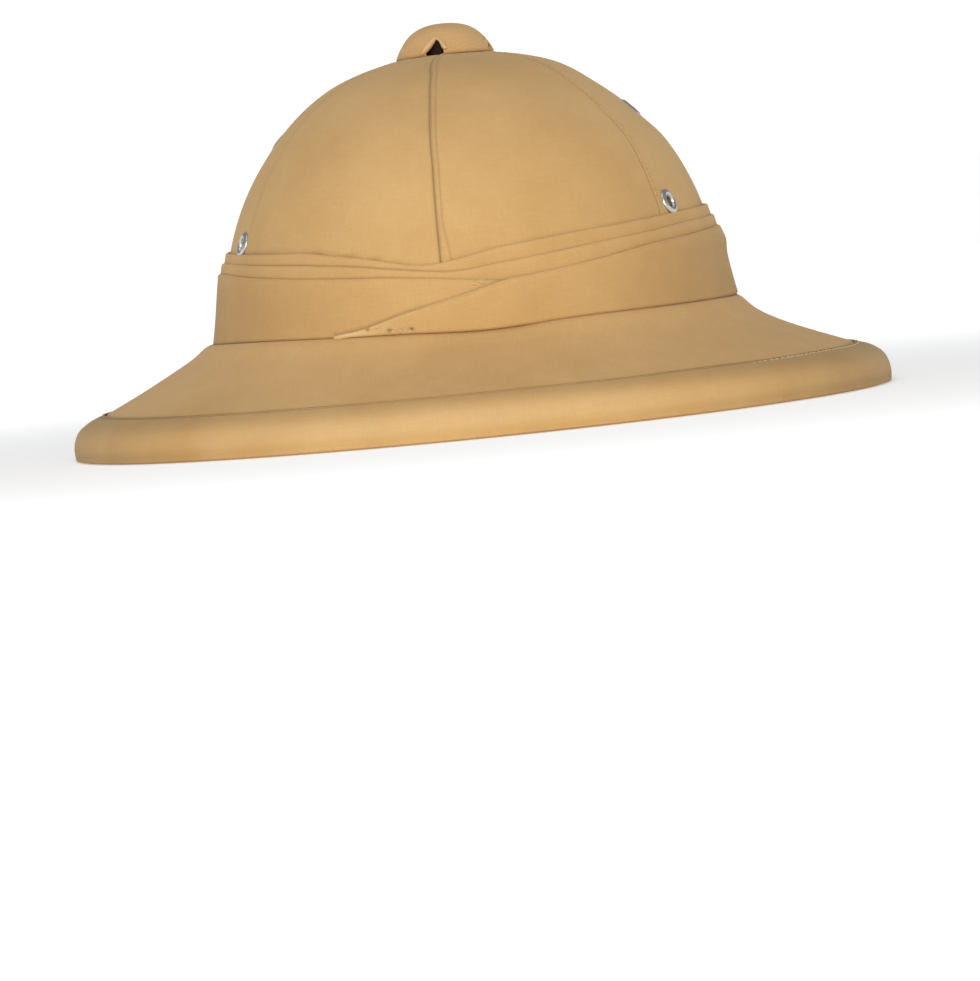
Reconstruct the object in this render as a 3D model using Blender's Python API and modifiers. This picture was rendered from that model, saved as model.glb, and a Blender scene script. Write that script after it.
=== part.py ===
"""Pith helmet: a pressed board shell covered with tan twill.

Frame: metres, +Z up, the floor at Z = 0 under the rim, the front of the hat at -Y.
An azimuth is 0 at the front, 90 degrees on the wearer's left (+X) and 180 at the back.
The hat's skin, the outer face of its cloth, is worked out first. Every layer is that
skin moved in or out along its normal, and every wall is an open sheet with Solidify.
"""
import math
from collections import namedtuple

import bmesh
import bpy
from mathutils import Matrix, Vector

# Overall sizes of the skin, in metres
HAT_WIDTH = 0.3010
HAT_LENGTH = 0.3360
CROWN_WIDTH = 0.1840
CROWN_LENGTH = 0.2300
CROWN_HEIGHT = 0.0990
BRIM_RISE = 0.0360
CROWN_ROUNDNESS = 2.2

# Walls and clearances
BOARD = 0.0025
CLOTH = 0.0012
PLEAT_CLOTH = 0.0010
GAP = 0.0003

# Six cloth panels on the crown, and the round vent that they leave open
PANEL_COUNT = 6
COLUMNS_PER_PANEL = 8
VENT_SHARE = 0.100
PANEL_TOP_SHARE = 0.130

# Binding round the rim: how far it goes up inside
BINDING_RETURN = 0.0050

# Puggaree, the scarf wound round the crown. Two shares of the middle pleat's visible
# height say how much of it the upper pleat reaches behind, and where it steps outwards
PUGGAREE_HEIGHT = 0.0332
PUGGAREE_FOOT = 0.0014
PLEAT_TUCK = 0.0030
UPPER_PLEAT_HIDDEN = 0.35
MIDDLE_PLEAT_STEP = (0.20, 0.50)
WRAP_FLARE = 0.0019
WRAP_STEP_DOWN = 8.0

# Ventilator cap on top, with four arched notches
CAP_RADIUS = 0.0180
CAP_HEIGHT = 0.0134
CAP_WALL = 0.0016
CAP_HEM = 0.0010
CAP_ROUNDNESS = 1.75
CAP_TURN = -5.0
NOTCH_COUNT = 4
NOTCH_RADIUS = 0.0056

# Metal eyelets, three in a triangle on each side panel
EYELET_FLANGE = 0.0048
EYELET_BORE = 0.0027
EYELET_METAL = 0.0005
EYELET_SEAM_MARGIN = 0.0007
EYELET_BAND_MARGIN = 0.0006
EYELET_SEAT = 0.0004
EYELET_BACK = 0.0008
EYELET_SIDES = 10
HIGH_EYELET_AZIMUTH = 90.0
HIGH_EYELET_SHARE = 0.745

# Section of the brim, from the foot of the crown to the rim's lower edge:
# out is a share of the brim's width, down is a share of the crown foot's height
BrimRow = namedtuple("BrimRow", "out down")
BRIM_SECTION = (
    BrimRow(out=0.000, down=-0.100),
    BrimRow(out=0.030, down=-0.015),
    BrimRow(out=0.095, down=0.035),
    BrimRow(out=0.225, down=0.165),
    BrimRow(out=0.480, down=0.366),
    BrimRow(out=0.795, down=0.583),
    BrimRow(out=0.900, down=0.655),
    BrimRow(out=0.967, down=0.735),
    BrimRow(out=1.000, down=0.860),
    BrimRow(out=1.000, down=1.000),
)
STITCH_ROW = 5

# Heights of the crown's rows, as shares of its height
CROWN_ROWS = (0.220, 0.450, 0.640, 0.800, 0.900, 0.955)

# Upper edges of the puggaree's layers: azimuth in degrees, and
# the height as a share of the puggaree's height
EdgeRow = namedtuple("EdgeRow", "azimuth height")
UPPER_PLEAT_EDGE = (
    EdgeRow(azimuth=-90, height=0.990),
    EdgeRow(azimuth=-63, height=0.955),
    EdgeRow(azimuth=-35, height=0.920),
    EdgeRow(azimuth=-18, height=0.813),
    EdgeRow(azimuth=-6, height=0.690),
    EdgeRow(azimuth=0, height=0.700),
    EdgeRow(azimuth=12, height=0.810),
    EdgeRow(azimuth=30, height=0.880),
    EdgeRow(azimuth=63, height=0.955),
    EdgeRow(azimuth=90, height=0.995),
    EdgeRow(azimuth=180, height=1.000),
)
MIDDLE_PLEAT_EDGE = (
    EdgeRow(azimuth=-90, height=0.862),
    EdgeRow(azimuth=-69, height=0.855),
    EdgeRow(azimuth=-35, height=0.786),
    EdgeRow(azimuth=-20, height=0.729),
    EdgeRow(azimuth=-3, height=0.615),
    EdgeRow(azimuth=3, height=0.590),
    EdgeRow(azimuth=12, height=0.645),
    EdgeRow(azimuth=34, height=0.732),
    EdgeRow(azimuth=65, height=0.834),
    EdgeRow(azimuth=90, height=0.867),
    EdgeRow(azimuth=180, height=0.865),
)
# The wrap goes once round and overlaps itself at the front: it starts as the narrow
# end on top, runs by the wearer's left and the back, and ends below its own start
WRAP_EDGE = (
    EdgeRow(azimuth=-23, height=0.045),
    EdgeRow(azimuth=-17, height=0.095),
    EdgeRow(azimuth=-9, height=0.214),
    EdgeRow(azimuth=1, height=0.313),
    EdgeRow(azimuth=13, height=0.464),
    EdgeRow(azimuth=30, height=0.540),
    EdgeRow(azimuth=49, height=0.649),
    EdgeRow(azimuth=83, height=0.735),
    EdgeRow(azimuth=180, height=0.745),
    EdgeRow(azimuth=291, height=0.744),
    EdgeRow(azimuth=326, height=0.636),
    EdgeRow(azimuth=348, height=0.584),
    EdgeRow(azimuth=373, height=0.455),
)

# Base colours (linear), for a plain look at the model
TWILL = (0.62, 0.39, 0.17, 1.0)
TWILL_LIGHT = (0.66, 0.43, 0.20, 1.0)
TWILL_DEEP = (0.57, 0.35, 0.15, 1.0)
PRESSED_BOARD = (0.52, 0.44, 0.33, 1.0)
NICKEL = (0.72, 0.70, 0.66, 1.0)

# Sizes that follow from the ones above
COLUMNS = PANEL_COUNT * COLUMNS_PER_PANEL
SIDE_BRIM = (HAT_WIDTH - CROWN_WIDTH) / 2
FRONT_BRIM = (HAT_LENGTH - CROWN_LENGTH) / 2
BOARD_DEPTH = CLOTH + GAP
RIM_THICKNESS = CLOTH + GAP + BOARD + GAP + CLOTH
CAP_SEAT_SHARE = CAP_RADIUS / (CROWN_WIDTH / 2)
PUGGAREE_BASE = BRIM_RISE + PUGGAREE_FOOT
EYELET_BARREL = EYELET_BORE + EYELET_METAL
EYELET_HOLE = EYELET_BARREL + GAP
LAST_ROW = len(BRIM_SECTION) - 1


def make_collection(name):
    collection = bpy.data.collections.new(name)
    bpy.context.scene.collection.children.link(collection)
    return collection


def make_material(name, colour, roughness, metallic=0.0):
    material = bpy.data.materials.new(name)
    material.use_nodes = True
    shader = material.node_tree.nodes["Principled BSDF"]
    shader.inputs["Base Color"].default_value = colour
    shader.inputs["Roughness"].default_value = roughness
    shader.inputs["Metallic"].default_value = metallic
    return material


def crown_share(height_share):
    """How wide the crown still is at a share of its height."""
    return (1.0 - height_share ** CROWN_ROUNDNESS) ** (1.0 / CROWN_ROUNDNESS)


def height_of_share(width_share):
    """The share of the crown's height where it has this share of its width."""
    return (1.0 - width_share ** CROWN_ROUNDNESS) ** (1.0 / CROWN_ROUNDNESS)


def crown_point(azimuth, height, lift=0.0):
    """A point on the crown's skin at a height over the floor, moved out by lift."""
    share = min(max((height - BRIM_RISE) / CROWN_HEIGHT, 0.0), 1.0)
    wide = crown_share(share)
    x_share = wide * math.sin(azimuth)
    y_share = -wide * math.cos(azimuth)
    point = Vector((x_share * CROWN_WIDTH / 2, y_share * CROWN_LENGTH / 2, height))
    spread = wide ** (CROWN_ROUNDNESS - 2.0)
    normal = Vector((
        spread * x_share / (CROWN_WIDTH / 2),
        spread * y_share / (CROWN_LENGTH / 2),
        share ** (CROWN_ROUNDNESS - 1.0) / CROWN_HEIGHT,
    ))
    return point + normal.normalized() * lift


def smooth_row(rows, place):
    """A smooth curve through the rows of a table, read at a fractional row number."""
    first = min(int(place), len(rows) - 2)
    t = place - first
    before = rows[max(first - 1, 0)]
    here = rows[first]
    after = rows[first + 1]
    beyond = rows[min(first + 2, len(rows) - 1)]
    values = []
    for a, b, c, d in zip(before, here, after, beyond):
        values.append(0.5 * (
            2 * b + (c - a) * t
            + (2 * a - 5 * b + 4 * c - d) * t ** 2
            + (3 * b - a - 3 * c + d) * t ** 3
        ))
    return values


def brim_ring(place):
    """Half width, half length and height of the brim's ring at a row number."""
    out, down = smooth_row(BRIM_SECTION, place)
    return (
        CROWN_WIDTH / 2 + SIDE_BRIM * out,
        CROWN_LENGTH / 2 + FRONT_BRIM * out,
        BRIM_RISE * (1.0 - down),
    )


def brim_point(azimuth, place, lift=0.0):
    """A point on the brim's skin at a row number, moved out by lift."""
    width, length, height = brim_ring(place)
    point = Vector((width * math.sin(azimuth), -length * math.cos(azimuth), height))
    step = 0.01
    inner = brim_ring(max(place - step, 0.0))
    outer = brim_ring(min(place + step, LAST_ROW))
    along = Vector((
        (outer[0] - inner[0]) * math.sin(azimuth),
        -(outer[1] - inner[1]) * math.cos(azimuth),
        outer[2] - inner[2],
    ))
    around = Vector((width * math.cos(azimuth), length * math.sin(azimuth), 0.0))
    return point + along.cross(around).normalized() * lift


def brim_place_at(height):
    """The row number where the rim's lower part reaches a height over the floor."""
    low, high = float(STITCH_ROW), float(LAST_ROW)
    for _ in range(40):
        middle = (low + high) / 2
        if brim_ring(middle)[2] > height:
            low = middle
        else:
            high = middle
    return (low + high) / 2


def edge_height(rows, azimuth_degrees):
    """Height over the floor of a puggaree edge, eased between the table's rows."""
    below = [row for row in rows if row.azimuth <= azimuth_degrees]
    above = [row for row in rows if row.azimuth > azimuth_degrees]
    start = below[-1] if below else above[0]
    end = above[0] if above else start
    span = max(end.azimuth - start.azimuth, 1e-6)
    t = min(max((azimuth_degrees - start.azimuth) / span, 0.0), 1.0)
    share = start.height + (end.height - start.height) * t
    return PUGGAREE_BASE + PUGGAREE_HEIGHT * share


def round_edge_height(rows, azimuth_degrees):
    """As edge_height, for an edge that closes on itself behind the hat."""
    turn = (azimuth_degrees + 90.0) % 360.0 - 90.0
    if turn > 180.0:
        t = (turn - 180.0) / 90.0
        back = edge_height(rows, 180.0)
        return back + (edge_height(rows, -90.0) - back) * t
    return edge_height(rows, turn)


def wrap_top(azimuth_degrees):
    """Height of the wrap's highest layer at an azimuth."""
    turn = (azimuth_degrees - WRAP_EDGE[0].azimuth) % 360.0 + WRAP_EDGE[0].azimuth
    heights = [edge_height(WRAP_EDGE, turn)]
    if turn + 360.0 <= WRAP_EDGE[-1].azimuth:
        heights.append(edge_height(WRAP_EDGE, turn + 360.0))
    return max(heights)


def seat_object(name, mesh, material, collection):
    mesh.materials.append(material)
    mesh.shade_smooth()
    mesh.set_sharp_from_angle(angle=math.radians(40))
    item = bpy.data.objects.new(name, mesh)
    collection.objects.link(item)
    return item


def sheet_mesh(name, columns, rows, place):
    """A grid bent into shape: place(u, v) gives each point, u round and v upwards."""
    mesh = bpy.data.meshes.new(name)
    grid = bmesh.new()
    bmesh.ops.create_grid(grid, x_segments=columns, y_segments=rows, size=0.5)
    for vertex in grid.verts:
        u = round((vertex.co.x + 0.5) * columns)
        v = round((vertex.co.y + 0.5) * rows)
        vertex.co = place(u, v)
    bmesh.ops.remove_doubles(grid, verts=grid.verts, dist=1e-6)
    grid.to_mesh(mesh)
    grid.free()
    return mesh


def make_sheet(name, columns, rows, place, thickness, material, collection):
    """A wall: an open sheet whose skin is given, thickened inwards."""
    mesh = sheet_mesh(name, columns, rows, place)
    item = seat_object(name, mesh, material, collection)
    wall = item.modifiers.new("wall", "SOLIDIFY")
    wall.thickness = thickness
    wall.offset = -1.0
    wall.use_even_offset = True
    return item


def column_azimuth(column):
    return 2.0 * math.pi * (column % COLUMNS) / COLUMNS


def crown_heights(lowest, highest_share):
    """Heights of the crown's rows, from its lowest edge to its open top."""
    heights = [BRIM_RISE + CROWN_HEIGHT * share for share in CROWN_ROWS]
    seat = BRIM_RISE + CROWN_HEIGHT * height_of_share(CAP_SEAT_SHARE)
    top = BRIM_RISE + CROWN_HEIGHT * height_of_share(highest_share)
    return [lowest] + heights + [seat, top]


def make_shell(material, collection):
    """Board shell: brim with a lip turned down, crown, open vent at the top."""
    lip_end = brim_place_at(CLOTH + GAP)
    places = [lip_end] + [float(row) for row in range(LAST_ROW - 1, -1, -1)]
    heights = crown_heights(brim_ring(0.0)[2], VENT_SHARE)[1:]

    def place(u, v):
        azimuth = column_azimuth(u)
        if v < len(places):
            return brim_point(azimuth, places[v], -BOARD_DEPTH)
        return crown_point(azimuth, heights[v - len(places)], -BOARD_DEPTH)

    rows = len(places) + len(heights) - 1
    return make_sheet("shell", COLUMNS, rows, place, BOARD, material, collection)


def make_panel(number, material, collection):
    """One of the crown's cloth panels, between two seams."""
    heights = crown_heights(brim_ring(0.0)[2] + GAP / 2, PANEL_TOP_SHARE)
    first = (number - 1) * COLUMNS_PER_PANEL

    def place(u, v):
        azimuth = column_azimuth(first + u)
        wide = crown_share((heights[v] - BRIM_RISE) / CROWN_HEIGHT)
        reach = wide * math.hypot(
            CROWN_WIDTH / 2 * math.cos(azimuth), CROWN_LENGTH / 2 * math.sin(azimuth))
        if u == 0:
            azimuth += GAP / 2 / reach
        if u == COLUMNS_PER_PANEL:
            azimuth -= GAP / 2 / reach
        return crown_point(azimuth, heights[v])

    name = f"crown_panel_{number}"
    return make_sheet(
        name, COLUMNS_PER_PANEL, len(heights) - 1, place, CLOTH, material, collection)


def make_brim_cover(material, collection):
    """Cloth on top of the brim, from the foot of the crown to the stitch line."""
    places = [float(row) for row in range(STITCH_ROW, -1, -1)]
    outer = brim_ring(STITCH_ROW)[0]
    inner = brim_ring(STITCH_ROW - 1)[0]
    places[0] -= GAP / (outer - inner)
    foot = BRIM_RISE * (BRIM_SECTION[1].down - BRIM_SECTION[0].down)
    places[-1] += GAP / 2 / foot

    def place(u, v):
        return brim_point(column_azimuth(u), places[v])

    return make_sheet(
        "brim_cover", COLUMNS, len(places) - 1, place, CLOTH, material, collection)


def make_binding(material, collection):
    """Cloth strip sewn round the rim: up inside the lip, flat below, up to the stitches."""
    inside = [brim_place_at(BINDING_RETURN), float(LAST_ROW)]
    outside = [float(row) for row in range(LAST_ROW, STITCH_ROW - 1, -1)]

    def place(u, v):
        azimuth = column_azimuth(u)
        if v < len(inside):
            return brim_point(azimuth, inside[v], -RIM_THICKNESS)
        return brim_point(azimuth, outside[v - len(inside)])

    rows = len(inside) + len(outside) - 1
    return make_sheet("brim_binding", COLUMNS, rows, place, CLOTH, material, collection)


def make_upper_pleat(material, collection):
    """The highest, thinnest fold of the puggaree, against the crown."""
    lift = GAP + PLEAT_CLOTH

    def place(u, v):
        azimuth = column_azimuth(u)
        degrees = math.degrees(azimuth)
        middle = round_edge_height(MIDDLE_PLEAT_EDGE, degrees)
        low = middle - UPPER_PLEAT_HIDDEN * (middle - wrap_top(degrees))
        high = round_edge_height(UPPER_PLEAT_EDGE, degrees)
        return crown_point(azimuth, (low, high)[v], lift)

    return make_sheet(
        "puggaree_pleat_upper", COLUMNS, 1, place, PLEAT_CLOTH, material, collection)


def make_middle_pleat(material, collection):
    """The second fold: it laps over the first and is lapped by the wrap."""
    near = GAP + PLEAT_CLOTH
    far = 2 * (GAP + PLEAT_CLOTH)

    def place(u, v):
        azimuth = column_azimuth(u)
        degrees = math.degrees(azimuth)
        high = round_edge_height(MIDDLE_PLEAT_EDGE, degrees)
        low = wrap_top(degrees)
        inner, outer = (low + share * (high - low) for share in MIDDLE_PLEAT_STEP)
        rows = ((low - PLEAT_TUCK, near), (inner, near), (outer, far), (high, far))
        return crown_point(azimuth, *rows[v])

    return make_sheet(
        "puggaree_pleat_middle", COLUMNS, 3, place, PLEAT_CLOTH, material, collection)


def wrap_lift(turn, share):
    """How far the wrap's outer face stands off the crown's skin."""
    lift = 2 * GAP + PLEAT_CLOTH + CLOTH + WRAP_FLARE * (1.0 - share)
    lap_end = WRAP_EDGE[-1].azimuth - 360.0
    over = min(max((lap_end + WRAP_STEP_DOWN - turn) / (WRAP_STEP_DOWN / 2), 0.0), 1.0)
    return lift + (CLOTH + GAP) * over


def make_wrap(material, collection):
    """The puggaree's broad scarf: once round the crown, lapped over itself in front."""
    start = WRAP_EDGE[0].azimuth
    end = WRAP_EDGE[-1].azimuth
    step = 360.0 / COLUMNS
    turns = [start]
    turns += [step * k for k in range(math.ceil(start / step), math.ceil(end / step))]
    turns += [end]

    def place(u, v):
        turn = turns[u]
        share = v / 2
        low = PUGGAREE_BASE
        high = edge_height(WRAP_EDGE, turn)
        height = low + (high - low) * share
        return crown_point(math.radians(turn), height, wrap_lift(turn, share))

    return make_sheet(
        "puggaree_wrap", len(turns) - 1, 2, place, CLOTH, material, collection)


def make_cap(material, collection, cutters):
    """Ventilator cap: a low dome on the crown's top, with arched notches in its foot."""
    columns = 24
    angles = [math.radians(angle) for angle in (0, 18, 40, 64, 90)]
    inner = (CAP_RADIUS - CAP_WALL) / CAP_RADIUS

    def foot_height(azimuth):
        x_share = inner * CAP_RADIUS * math.sin(azimuth) / (CROWN_WIDTH / 2)
        y_share = inner * CAP_RADIUS * math.cos(azimuth) / (CROWN_LENGTH / 2)
        wide = math.hypot(x_share, y_share)
        return BRIM_RISE + CROWN_HEIGHT * height_of_share(wide) + GAP

    top = foot_height(math.pi / 2) + CAP_HEIGHT

    def place(u, v):
        azimuth = 2.0 * math.pi * (u % columns) / columns
        angle = angles[max(v - 1, 0)]
        radius = CAP_RADIUS * max(math.cos(angle), 0.0) ** (2.0 / CAP_ROUNDNESS)
        rise = math.sin(angle) ** (2.0 / CAP_ROUNDNESS)
        foot = foot_height(azimuth)
        hem = foot + CAP_HEM
        if v == 0:
            return Vector((radius * math.sin(azimuth), -radius * math.cos(azimuth), foot))
        if v == len(angles):
            return Vector((0.0, 0.0, top))
        height = hem + (top - hem) * rise
        return Vector((radius * math.sin(azimuth), -radius * math.cos(azimuth), height))

    cap = make_sheet(
        "ventilator_cap", columns, len(angles), place, CAP_WALL, material, collection)
    for number in range(NOTCH_COUNT):
        azimuth = math.radians(CAP_TURN + 360.0 / NOTCH_COUNT * number)
        outward = Vector((math.sin(azimuth), -math.cos(azimuth), 0.0))
        centre = outward * CAP_RADIUS
        centre.z = foot_height(azimuth) - GAP
        cut(cap, make_cutter(f"notch_{number + 1}", centre, outward, NOTCH_RADIUS,
                             CAP_RADIUS, 16, cutters))
    return cap


def make_cutter(name, centre, axis, radius, length, sides, cutters):
    """A plain cylinder along axis, used only to cut a hole."""
    mesh = bpy.data.meshes.new(name)
    shape = bmesh.new()
    bmesh.ops.create_cone(shape, cap_ends=True, segments=sides, radius1=radius,
                          radius2=radius, depth=length)
    shape.to_mesh(mesh)
    shape.free()
    cutter = bpy.data.objects.new(name, mesh)
    cutter.matrix_world = facing(centre, axis)
    cutter.display_type = "WIRE"
    cutter.hide_render = True
    cutters.objects.link(cutter)
    return cutter


def cut(item, cutter):
    boolean = item.modifiers.new(cutter.name, "BOOLEAN")
    boolean.operation = "DIFFERENCE"
    boolean.solver = "EXACT"
    boolean.object = cutter


def facing(centre, axis):
    """A frame at centre whose Z runs along axis."""
    turn = axis.to_track_quat("Z", "Y").to_matrix().to_4x4()
    return Matrix.Translation(centre) @ turn


def panel_seat(azimuth, height):
    """Where a crown panel's flat facet lies at a place, and the skin's way out there."""
    heights = crown_heights(brim_ring(0.0)[2], PANEL_TOP_SHARE)
    row = max(k for k in range(len(heights) - 1) if heights[k] <= height)
    column = azimuth / (2.0 * math.pi) * COLUMNS
    left = math.floor(column)
    rise = (height - heights[row]) / (heights[row + 1] - heights[row])
    edges = []
    for side in (left, left + 1):
        low = crown_point(column_azimuth(side), heights[row])
        edges.append(low.lerp(crown_point(column_azimuth(side), heights[row + 1]), rise))
    skin = crown_point(azimuth, height)
    outward = crown_point(azimuth, height, 1.0) - skin
    return edges[0].lerp(edges[1], column - left), outward


def eyelet_places():
    """Name, azimuth in degrees and height of each eyelet."""
    seam = 360.0 / PANEL_COUNT
    over_band = EYELET_FLANGE + EYELET_BAND_MARGIN
    low = round_edge_height(UPPER_PLEAT_EDGE, seam) + over_band
    wide = crown_share((low - BRIM_RISE) / CROWN_HEIGHT)
    reach = wide * math.hypot(
        CROWN_WIDTH / 2 * math.cos(math.radians(seam)),
        CROWN_LENGTH / 2 * math.sin(math.radians(seam)))
    front = seam + math.degrees((EYELET_FLANGE + EYELET_SEAM_MARGIN) / reach)
    rear = 2 * HIGH_EYELET_AZIMUTH - front
    rear_low = round_edge_height(UPPER_PLEAT_EDGE, rear) + over_band
    high = BRIM_RISE + CROWN_HEIGHT * HIGH_EYELET_SHARE
    side = ((front, low), (HIGH_EYELET_AZIMUTH, high), (rear, rear_low))
    places = []
    for sign in (1.0, -1.0):
        for azimuth, height in side:
            places.append((f"eyelet_{len(places) + 1}", sign * azimuth, height))
    return places


def make_eyelet(name, seat, outward, material, collection):
    """A turned metal eyelet, its axis square to the crown's skin."""
    top = EYELET_SEAT
    depth = CLOTH + GAP + BOARD + EYELET_BACK
    roll = 2 * EYELET_METAL
    profile = (
        (EYELET_BORE, top + roll * 0.6),
        (EYELET_BORE + roll * 0.5, top + roll),
        (EYELET_FLANGE - roll * 0.5, top + roll * 0.85),
        (EYELET_FLANGE, top),
        (EYELET_BARREL, top),
        (EYELET_BARREL, -depth),
        (EYELET_FLANGE - roll, -depth),
        (EYELET_BORE, -depth - roll * 0.7),
    )
    mesh = bpy.data.meshes.new(name)
    ring = bmesh.new()
    verts = [ring.verts.new((radius, 0.0, z)) for radius, z in profile]
    for first, second in zip(verts, verts[1:] + verts[:1]):
        ring.edges.new((first, second))
    ring.to_mesh(mesh)
    ring.free()
    eyelet = seat_object(name, mesh, material, collection)
    turn = eyelet.modifiers.new("turned", "SCREW")
    turn.axis = "Z"
    turn.steps = EYELET_SIDES
    turn.render_steps = EYELET_SIDES
    turn.use_merge_vertices = True
    turn.merge_threshold = 1e-5
    eyelet.matrix_world = facing(seat, outward)
    return eyelet


def main():
    for item in list(bpy.data.objects):
        bpy.data.objects.remove(item, do_unlink=True)
    collection = make_collection("pith_helmet")
    cutters = make_collection("cutters")

    board = make_material("pressed_board", PRESSED_BOARD, 0.90)
    shell = make_shell(board, collection)

    panels = []
    for number in range(1, PANEL_COUNT + 1):
        twill = make_material(f"crown_twill_{number}", TWILL, 0.88)
        panels.append(make_panel(number, twill, collection))
    make_brim_cover(make_material("brim_twill", TWILL, 0.88), collection)
    make_binding(make_material("binding_twill", TWILL_LIGHT, 0.86), collection)

    make_upper_pleat(make_material("pleat_twill_upper", TWILL, 0.88), collection)
    make_middle_pleat(make_material("pleat_twill_middle", TWILL_DEEP, 0.88), collection)
    make_wrap(make_material("wrap_twill", TWILL_LIGHT, 0.88), collection)
    make_cap(make_material("cap_twill", TWILL_LIGHT, 0.88), collection, cutters)

    nickel = make_material("nickel_plated_brass", NICKEL, 0.28, metallic=1.0)
    for name, azimuth, height in eyelet_places():
        seat, outward = panel_seat(math.radians(azimuth), height)
        make_eyelet(name, seat, outward, nickel, collection)
        hole = make_cutter(f"hole_{name}", seat, outward, EYELET_HOLE,
                           4 * (BOARD_DEPTH + BOARD), 12, cutters)
        cut(shell, hole)
        panel = int((azimuth % 360.0) // (360.0 / PANEL_COUNT))
        cut(panels[panel], hole)


main()
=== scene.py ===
# %% [markdown]
# # A pith helmet, dressed in cloth
# A sun helmet of this kind is a hard board shell with thin twill glued and sewn over it. The
# solid model already has every layer in its right place. Here each cloth layer is made again
# as real cloth would lie: with turned edges, seams, stitches, folds and a weave.

# %% Load the solid model
import math

import bmesh
import bpy
import numpy as np
from mathutils import Matrix, Vector


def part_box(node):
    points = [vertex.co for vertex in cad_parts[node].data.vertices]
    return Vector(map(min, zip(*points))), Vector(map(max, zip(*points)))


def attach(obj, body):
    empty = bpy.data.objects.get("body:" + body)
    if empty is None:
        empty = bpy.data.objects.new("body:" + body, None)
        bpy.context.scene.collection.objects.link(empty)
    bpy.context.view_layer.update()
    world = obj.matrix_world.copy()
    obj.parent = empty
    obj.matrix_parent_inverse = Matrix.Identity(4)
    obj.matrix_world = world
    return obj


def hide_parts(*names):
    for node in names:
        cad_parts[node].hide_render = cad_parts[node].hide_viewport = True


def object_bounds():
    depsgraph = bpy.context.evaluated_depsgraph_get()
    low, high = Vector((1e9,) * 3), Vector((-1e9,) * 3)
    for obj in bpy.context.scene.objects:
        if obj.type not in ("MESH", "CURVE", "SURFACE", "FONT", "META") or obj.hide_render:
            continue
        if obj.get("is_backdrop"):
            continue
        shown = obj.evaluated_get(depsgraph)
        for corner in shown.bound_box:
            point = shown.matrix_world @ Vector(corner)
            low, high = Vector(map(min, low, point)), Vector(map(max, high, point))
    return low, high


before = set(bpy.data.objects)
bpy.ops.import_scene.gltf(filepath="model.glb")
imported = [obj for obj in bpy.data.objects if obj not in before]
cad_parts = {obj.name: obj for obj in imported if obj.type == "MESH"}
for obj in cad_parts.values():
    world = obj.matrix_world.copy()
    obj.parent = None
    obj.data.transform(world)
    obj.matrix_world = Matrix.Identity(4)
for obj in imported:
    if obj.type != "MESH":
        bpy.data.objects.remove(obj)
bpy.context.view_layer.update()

# %% [markdown]
# ## The camera
# The photograph was taken from about two metres away with a long lens, nearly level with the
# rim, and the head is tilted to one side. The hat itself rests level here, so the camera is
# turned and rolled instead. Its place is a chain of plain steps, each with one number: turn
# round the hat, height of the aim, rise, roll, and how far it stands off and aside.

# %% Place the camera
FRAME_HEIGHT_PX, SENSOR, CLIP_END = 981, 36.0, 100.0
CAMERA_DISTANCE = 2.10
CAMERA_RISE = math.radians(2.961)
CAMERA_TURN = math.radians(4.587)
CAMERA_ROLL = math.radians(5.674)
FOCAL_PX = 5706.9
AIM_HEIGHT, AIM_OFFSET = 0.08, (-0.00992, 0.10588)


def new_object(name, data):
    """An object in the scene."""
    item = bpy.data.objects.new(name, data)
    bpy.context.scene.collection.objects.link(item)
    return item


camera_data = bpy.data.cameras.new("camera")
camera_data.sensor_width = SENSOR
camera_data.lens = FOCAL_PX * SENSOR / FRAME_HEIGHT_PX
camera_data.clip_end = CLIP_END
camera = new_object("camera", camera_data)
camera.matrix_world = (
    Matrix.Rotation(CAMERA_TURN, 4, "Z") @ Matrix.Translation((0, 0, AIM_HEIGHT))
    @ Matrix.Rotation(math.pi / 2 - CAMERA_RISE, 4, "X") @ Matrix.Rotation(-CAMERA_ROLL, 4, "Z")
    @ Matrix.Translation((-AIM_OFFSET[0], -AIM_OFFSET[1], CAMERA_DISTANCE)))
bpy.context.scene.camera = camera
print("camera at", [round(v, 3) for v in camera.location], "lens", round(camera_data.lens, 1))

# %% [markdown]
# ## Colours and nodes
# Every colour is written as the hex value that the eye sees on a screen. Blender counts light,
# so one function turns it to linear. A second small function adds any shader node with its
# settings and links. A few shorter ones for the commonest nodes follow from that one.

# %% Colour and node helpers


def linear(hex_colour):
    """An sRGB hex colour as linear red, green, blue and 1."""
    values = []
    for start in (1, 3, 5):
        share = int(hex_colour[start:start + 2], 16) / 255
        values.append(share / 12.92 if share <= 0.04045 else ((share + 0.055) / 1.055) ** 2.4)
    return (*values, 1.0)


def add(tree, kind, settings=None, **inputs):
    """Adds a node. Inputs are set by name, _ for a space, or by number as n0, from a value or
    a node's output."""
    node = tree.nodes.new("ShaderNode" + kind)
    for key, value in (settings or {}).items():
        setattr(node, key, value)
    for key, value in inputs.items():
        numbered = key[0] == "n" and key[1:].isdigit()
        socket = node.inputs[int(key[1:]) if numbered else key.replace("_", " ")]
        if isinstance(value, bpy.types.NodeSocket):
            tree.links.new(value, socket)
        else:
            socket.default_value = value
    return node


def remap(tree, value, low=0.0, high=1.0, to_low=0.0, to_high=1.0, ease="LINEAR"):
    """A value moved from one range to another and held there."""
    return add(tree, "MapRange", {"interpolation_type": ease}, Value=value, From_Min=low,
               From_Max=high, To_Min=to_low, To_Max=to_high).outputs[0]


def mixed(tree, share, first, second):
    """The first colour where share is 0 and the second where it is 1."""
    return add(tree, "Mix", {"data_type": "RGBA"}, n0=share, n6=first, n7=second).outputs[2]


def stretch(tree, vector, **inputs):
    """A map turned or scaled."""
    return add(tree, "Mapping", Vector=vector, **inputs).outputs[0]


def noise(tree, vector, scale=1.0, **inputs):
    """Soft noise round 0.5."""
    return add(tree, "TexNoise", Vector=vector, Scale=scale, **inputs).outputs["Fac"]


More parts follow.
